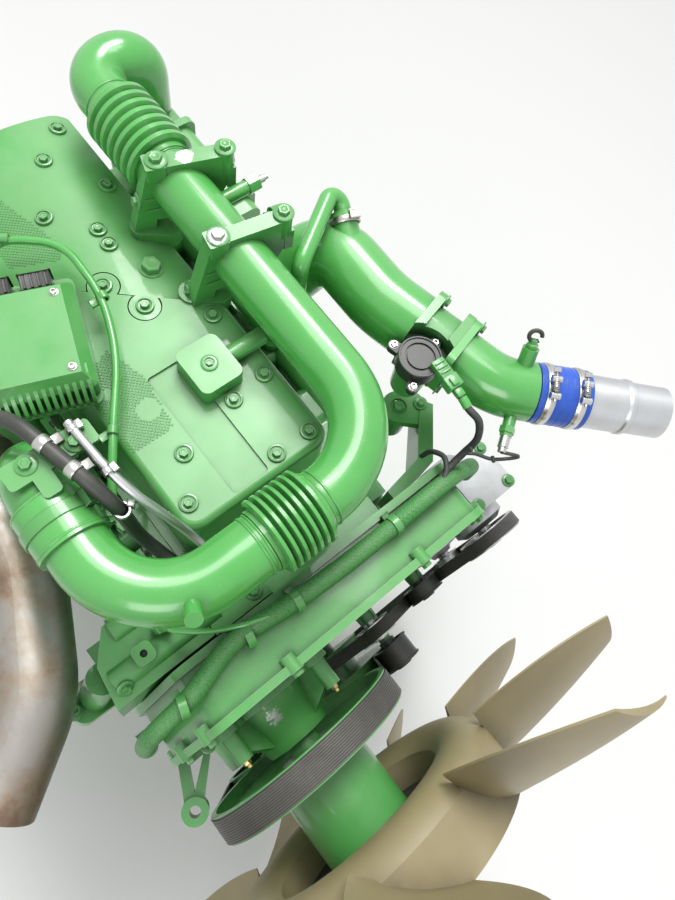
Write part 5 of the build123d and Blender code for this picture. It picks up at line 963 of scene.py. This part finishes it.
lineFittings = {
    "breatherClips": [((690, -128, 702), (0.8, -0.6, 0)), ((508, -26, 704), (1, -0.1, 0)),
                      ((350, -88, 704), (0.6, 0.8, 0))],
    "union": [(0, -14), (11, -14), (11, -4), (8, -3), (8, 4), (11, 5), (11, 14), (0, 14)],
    "unionPlace": (792, -187, 640), "unionAxis": (0.1, 0.1, 1),
    "hoseClips": [((700, -211, 803), (1, 0.24, 0)), ((748, -200, 803), (1, 0.25, 0))],
    "wormClips": [((808, -182, 758), (0.05, 0.05, 1), 10), ((868, -158, 577), (1, 0.3, -0.4), 10),
                  ((700, -174, 797.5), (1, 0, 0), 6), ((770, -170, 797), (1, 0.05, 0), 6)],
    "neck": (592, 358, 720), "neckAxis": (0.862, -0.359, -0.359), "neckReach": 14,
}


def makeLineFittings():
    steel, painted = bmesh.new(), bmesh.new()
    for centre, axis in lineFittings["breatherClips"]:
        addRing(painted, centre, axis, 6, 12, 2.0, segments=24)
        addLevelBlock(painted, (centre[0], centre[1] - 12, centre[2] - 4), (12, 18, 3), bevel=0.8)
    addLathe(painted, lineFittings["union"], 6,
             placed(lineFittings["unionPlace"], lineFittings["unionAxis"]))
    for centre, axis in lineFittings["hoseClips"]:
        addRing(steel, centre, axis, 10.2, 13, 1.4, segments=28)
        addLevelBlock(steel, (centre[0], centre[1] + 14, centre[2] - 8), (13, 16, 3), bevel=0.8)
    for centre, axis, radius in lineFittings["wormClips"]:
        addRing(steel, centre, axis, radius, 9, 1.3, segments=28)
        addBlock(steel, placed((centre[0], centre[1] + radius + 3, centre[2]), axis), (8, 9, 12))
    axis = Vector(lineFittings["neckAxis"])
    neck = Vector(lineFittings["neck"]) + axis * lineFittings["neckReach"]
    addRing(steel, neck, axis, 24, 10, 1.4, segments=36)
    addBlock(steel, placed(neck + Vector((10, 6, 26)), (0.86, -0.36, -0.36)), (14, 10, 12))
    finishPiece("line_fittings", painted, "green enamel on castings")
    finishPiece("line_clips", steel, "zinc plated steel")


makeCables()
makeLineFittings()
print("leads and clips set")

# Fan drive, pulleys and flywheel housing: bolts on circles round an axis along X
boltCircles = {  # solid: y, z of the axis, radius, count, size across flats, x that the rays start from
    "fan_drive_housing": dict(axis=(-155, 350), radius=124, count=4, across=11, start=1300,
                              phase=math.pi / 4),
    "fan_plate": dict(axis=(-155, 350), radius=58, count=6, across=16, start=1600, phase=0.3),
    "crank_pulley": dict(axis=(0, 0), radius=60, count=6, across=15, start=1600, phase=0.3),
    "flywheel_housing": dict(axis=(0, 0), radius=226, count=10, across=16, start=400, phase=0.3),
}
plugTip = [(0, 6), (3.4, 6), (3.4, 12), (0, 12.6)]


def addBoltCircle(mesh, solid, tip=None, **options):
    look = boltCircles[solid]
    for step in circleAngles(look["count"]):
        angle = look["phase"] + step
        y = look["axis"][0] + look["radius"] * math.cos(angle)
        z = look["axis"][1] + look["radius"] * math.sin(angle)
        place, normal = seatOn(solid, (look["start"], y, z), (-1, 0, 0))
        if place is not None:
            addHexBolt(mesh, place, normal, across=look["across"], turn=angle, **options)
            if tip:
                addLathe(mesh, tip, 14, standing(place, normal))


def makeDriveDetails():
    plugs, drive, crank, housing = bmesh.new(), bmesh.new(), bmesh.new(), bmesh.new()
    addBoltCircle(plugs, "fan_drive_housing", plugTip, washer=False, head=7)
    addBoltCircle(drive, "fan_plate")
    addBoltCircle(crank, "crank_pulley")
    addBoltCircle(housing, "flywheel_housing")
    finishPiece("fan_drive_plugs", plugs, "brass")
    finishPiece("fan_plate_bolts", drive, "zinc plated steel", body="fan_rotor")
    finishPiece("crank_pulley_bolts", crank, "zinc plated steel", body="crankshaft")
    finishPiece("housing_bolts", housing, "shaded green enamel")


controlUnit = {  # lengths along and across from its corner
    "corner": (470, -50, 690), "turn": -20,
    "screws": ((26, -26), (26, -124), (144, -26), (144, -124)), "rayRise": 200,
    "plugs": (-48, -104), "plugBack": -10, "plugRise": 18, "plugSize": (26, 42, 22),
    "ribs": (-15, -5, 5, 15), "ribRise": 11, "ribSize": (22, 3, 3),
}


def makeUnitDetails():
    screws, plugs = bmesh.new(), bmesh.new()
    unit = controlUnit
    along, across = levelAxes(unit["turn"])
    corner, turn = Vector(unit["corner"]), math.radians(unit["turn"])
    for reach, side in unit["screws"]:
        start = corner + along * reach + across * side + Vector((0, 0, unit["rayRise"]))
        place, normal = seatOn("control_unit", start)
        if place is not None:
            addSocketScrew(screws, place, Vector((0, 0, 1)), 5, 4)
    for side in unit["plugs"]:
        centre = corner + across * side + along * unit["plugBack"] + Vector((0, 0, unit["plugRise"]))
        addLevelBlock(plugs, centre, unit["plugSize"], turn, bevel=2.5)
        for rib in unit["ribs"]:
            spot = centre + across * rib + Vector((0, 0, unit["ribRise"]))
            addLevelBlock(plugs, spot, unit["ribSize"], turn, bevel=0.8)
    finishPiece("control_unit_screws", screws, "zinc plated steel")
    finishPiece("control_unit_plugs", plugs, "black moulded plastic")


sideParts = {
    "drain": (300, -300, -300), "drainAcross": 27, "drainHead": 12,
    "corePlug": [(27, -1), (27, 1.5), (25.5, 2), (24, -0.2), (0, 0.4)], "coreHeight": 40,
    "intakePlaces": range(160, 860, 116), "intakeSide": 228, "level": 0.9,
    "slots": 14, "slotAxis": (374, 40), "slotRadius": 40, "slotSize": (1.0, 5, 18),
    "grips": [  # place, profile, segments
        ((462, 281, 0), [(42.5, 14), (44.4, 15), (44.4, 36), (42.5, 37)], 24),
        ((578, 281, 0), [(42.5, 14), (44.4, 15), (44.4, 36), (42.5, 37)], 24),
        ((505, -272, 0), [(51.0, -232), (53.4, -230), (53.4, -204), (51.0, -202)], 28),
    ],
    "terminals": ((196, -274, 100), (228, -274, 100)),
}


def makeSideDetails():
    green, dark, cream, steel = bmesh.new(), bmesh.new(), bmesh.new(), bmesh.new()
    addSeatedBolt(green, "oil_pan", sideParts["drain"], (0, 1, 0), across=sideParts["drainAcross"],
                  head=sideParts["drainHead"])
    for side in (-1, 1):
        for x in cylinderPlaces:
            place, normal = seatOn("cylinder_block", (x, side * 400, sideParts["coreHeight"]), (0, -side, 0))
            if place is not None:
                addLathe(green, sideParts["corePlug"], 36, standing(place, normal))
    for x in sideParts["intakePlaces"]:
        place, normal = seatOn("intake_manifold", (x, sideParts["intakeSide"], 700))
        if place is not None and normal.z > sideParts["level"]:
            addHexBolt(green, place, normal, across=13, turn=x * 0.1)
    axisY, axisZ = sideParts["slotAxis"]
    for angle in circleAngles(sideParts["slots"]):  # air slots in the alternator's rear cap
        outward = Vector((0, math.cos(angle), math.sin(angle)))
        reach = outward * sideParts["slotRadius"]
        place, normal = seatOn("alternator", (900, axisY + reach.y, axisZ + reach.z), (1, 0, 0))
        if place is not None and -normal.x > sideParts["level"]:
            turned = outward.to_track_quat("Z", "X").to_matrix().to_4x4()
            addBlock(dark, Matrix.Translation(place) @ turned, sideParts["slotSize"], bevel=0.3)
    for place, profile, segments in sideParts["grips"]:
        addLathe(cream, profile, segments, placed(place, (0, 0, 1)))
    for start in sideParts["terminals"]:
        place, normal = seatOn("starter_motor", start)
        if place is not None:
            addHexBolt(steel, place, normal, across=13, head=7)
            addStud(steel, place, normal, 15, 3.6)
    finishPiece("side_bolts", green, "shaded green enamel")
    finishPiece("alternator_slots", dark, "black moulded plastic")
    finishPiece("filter_grips", cream, "cream enamel", smooth=False)
    finishPiece("starter_terminals", steel, "zinc plated steel")


makeDriveDetails()
makeUnitDetails()
makeSideDetails()
print("drives and control unit dressed")

# Floor, light and camera, in metres
studio = dict(floor=-0.342, floorSize=14.0, pale=(0.80, 0.80, 0.785), sun=1.9, sunAngle=22.0, key=45.0,
              fill=40.0, lampSize=1.6, sky=0.42, skyColour=(0.97, 0.985, 1.0, 1))
lamps = [  # name, kind, place, aimed at, power
    ("sun", "SUN", (-0.6, 1.6, 3.4), (0.8, 0, 0.5), studio["sun"]),
    ("key", "AREA", (0.1, 0.7, 3.2), (0.8, 0, 0.5), studio["key"]),
    ("fill", "AREA", (2.9, -2.3, 2.6), (0.8, 0, 0.3), studio["fill"]),
]
view = dict(place=(1.0591, -0.2079, 1.5936), right=(0.625, 0.766, 0.152), forward=(-0.172, 0.325, -0.930),
            lens=27.04, sensorHeight=36)


def makeFloor(scene):
    mesh = bmesh.new()
    bmesh.ops.create_grid(mesh, x_segments=1, y_segments=1, size=studio["floorSize"])
    data = bpy.data.meshes.new("floor")
    mesh.to_mesh(data)
    mesh.free()
    floor = bpy.data.objects.new("floor", data)
    floor.location = (0.5, 0, studio["floor"])
    scene.collection.objects.link(floor)
    looks = {"Roughness": 0.85, "Base Color": studio["pale"] + (1,)}
    data.materials.append(startMaterial("pale floor", looks)[0])


def makeWorld(scene):  # plain light, and white where the camera, gloss or glass sees it
    world = bpy.data.worlds.new("studio")
    world.use_nodes = True
    scene.world = world
    tree = world.node_tree
    background = tree.nodes["Background"]
    path = tree.nodes.new("ShaderNodeLightPath")
    seen = addMath(tree, "MAXIMUM", path.outputs["Is Camera Ray"], path.outputs["Is Glossy Ray"])
    seen = addMath(tree, "MAXIMUM", seen, path.outputs["Is Transmission Ray"])
    strength = addMath(tree, "MULTIPLY_ADD", seen, 1 - studio["sky"], studio["sky"])
    feed(tree, background.inputs["Strength"], strength)
    background.inputs["Color"].default_value = studio["skyColour"]


def makeLamps(scene):
    for name, kind, place, target, power in lamps:
        lamp = bpy.data.lights.new(name, kind)
        lamp.energy = power
        if kind == "SUN":
            lamp.angle = math.radians(studio["sunAngle"])
        else:
            lamp.size = studio["lampSize"]
        holder = bpy.data.objects.new(name, lamp)
        holder.location = place
        holder.rotation_euler = (Vector(target) - Vector(place)).to_track_quat("-Z", "Y").to_euler()
        scene.collection.objects.link(holder)


def makeCamera(scene):
    forward = Vector(view["forward"]).normalized()
    right = Vector(view["right"])
    right = (right - forward * right.dot(forward)).normalized()
    up = right.cross(forward)
    data = bpy.data.cameras.new("camera")
    data.sensor_fit = "VERTICAL"
    data.sensor_height = view["sensorHeight"]
    data.lens = view["lens"]
    data.clip_start = 0.02
    camera = bpy.data.objects.new("camera", data)
    camera.matrix_world = Matrix((right, up, -forward)).transposed().to_4x4()
    camera.location = view["place"]
    scene.collection.objects.link(camera)
    scene.camera = camera


makeFloor(bpy.context.scene)
makeWorld(bpy.context.scene)
makeLamps(bpy.context.scene)
makeCamera(bpy.context.scene)
bpy.context.scene.view_settings.view_transform = "Standard"
print("studio and camera set")
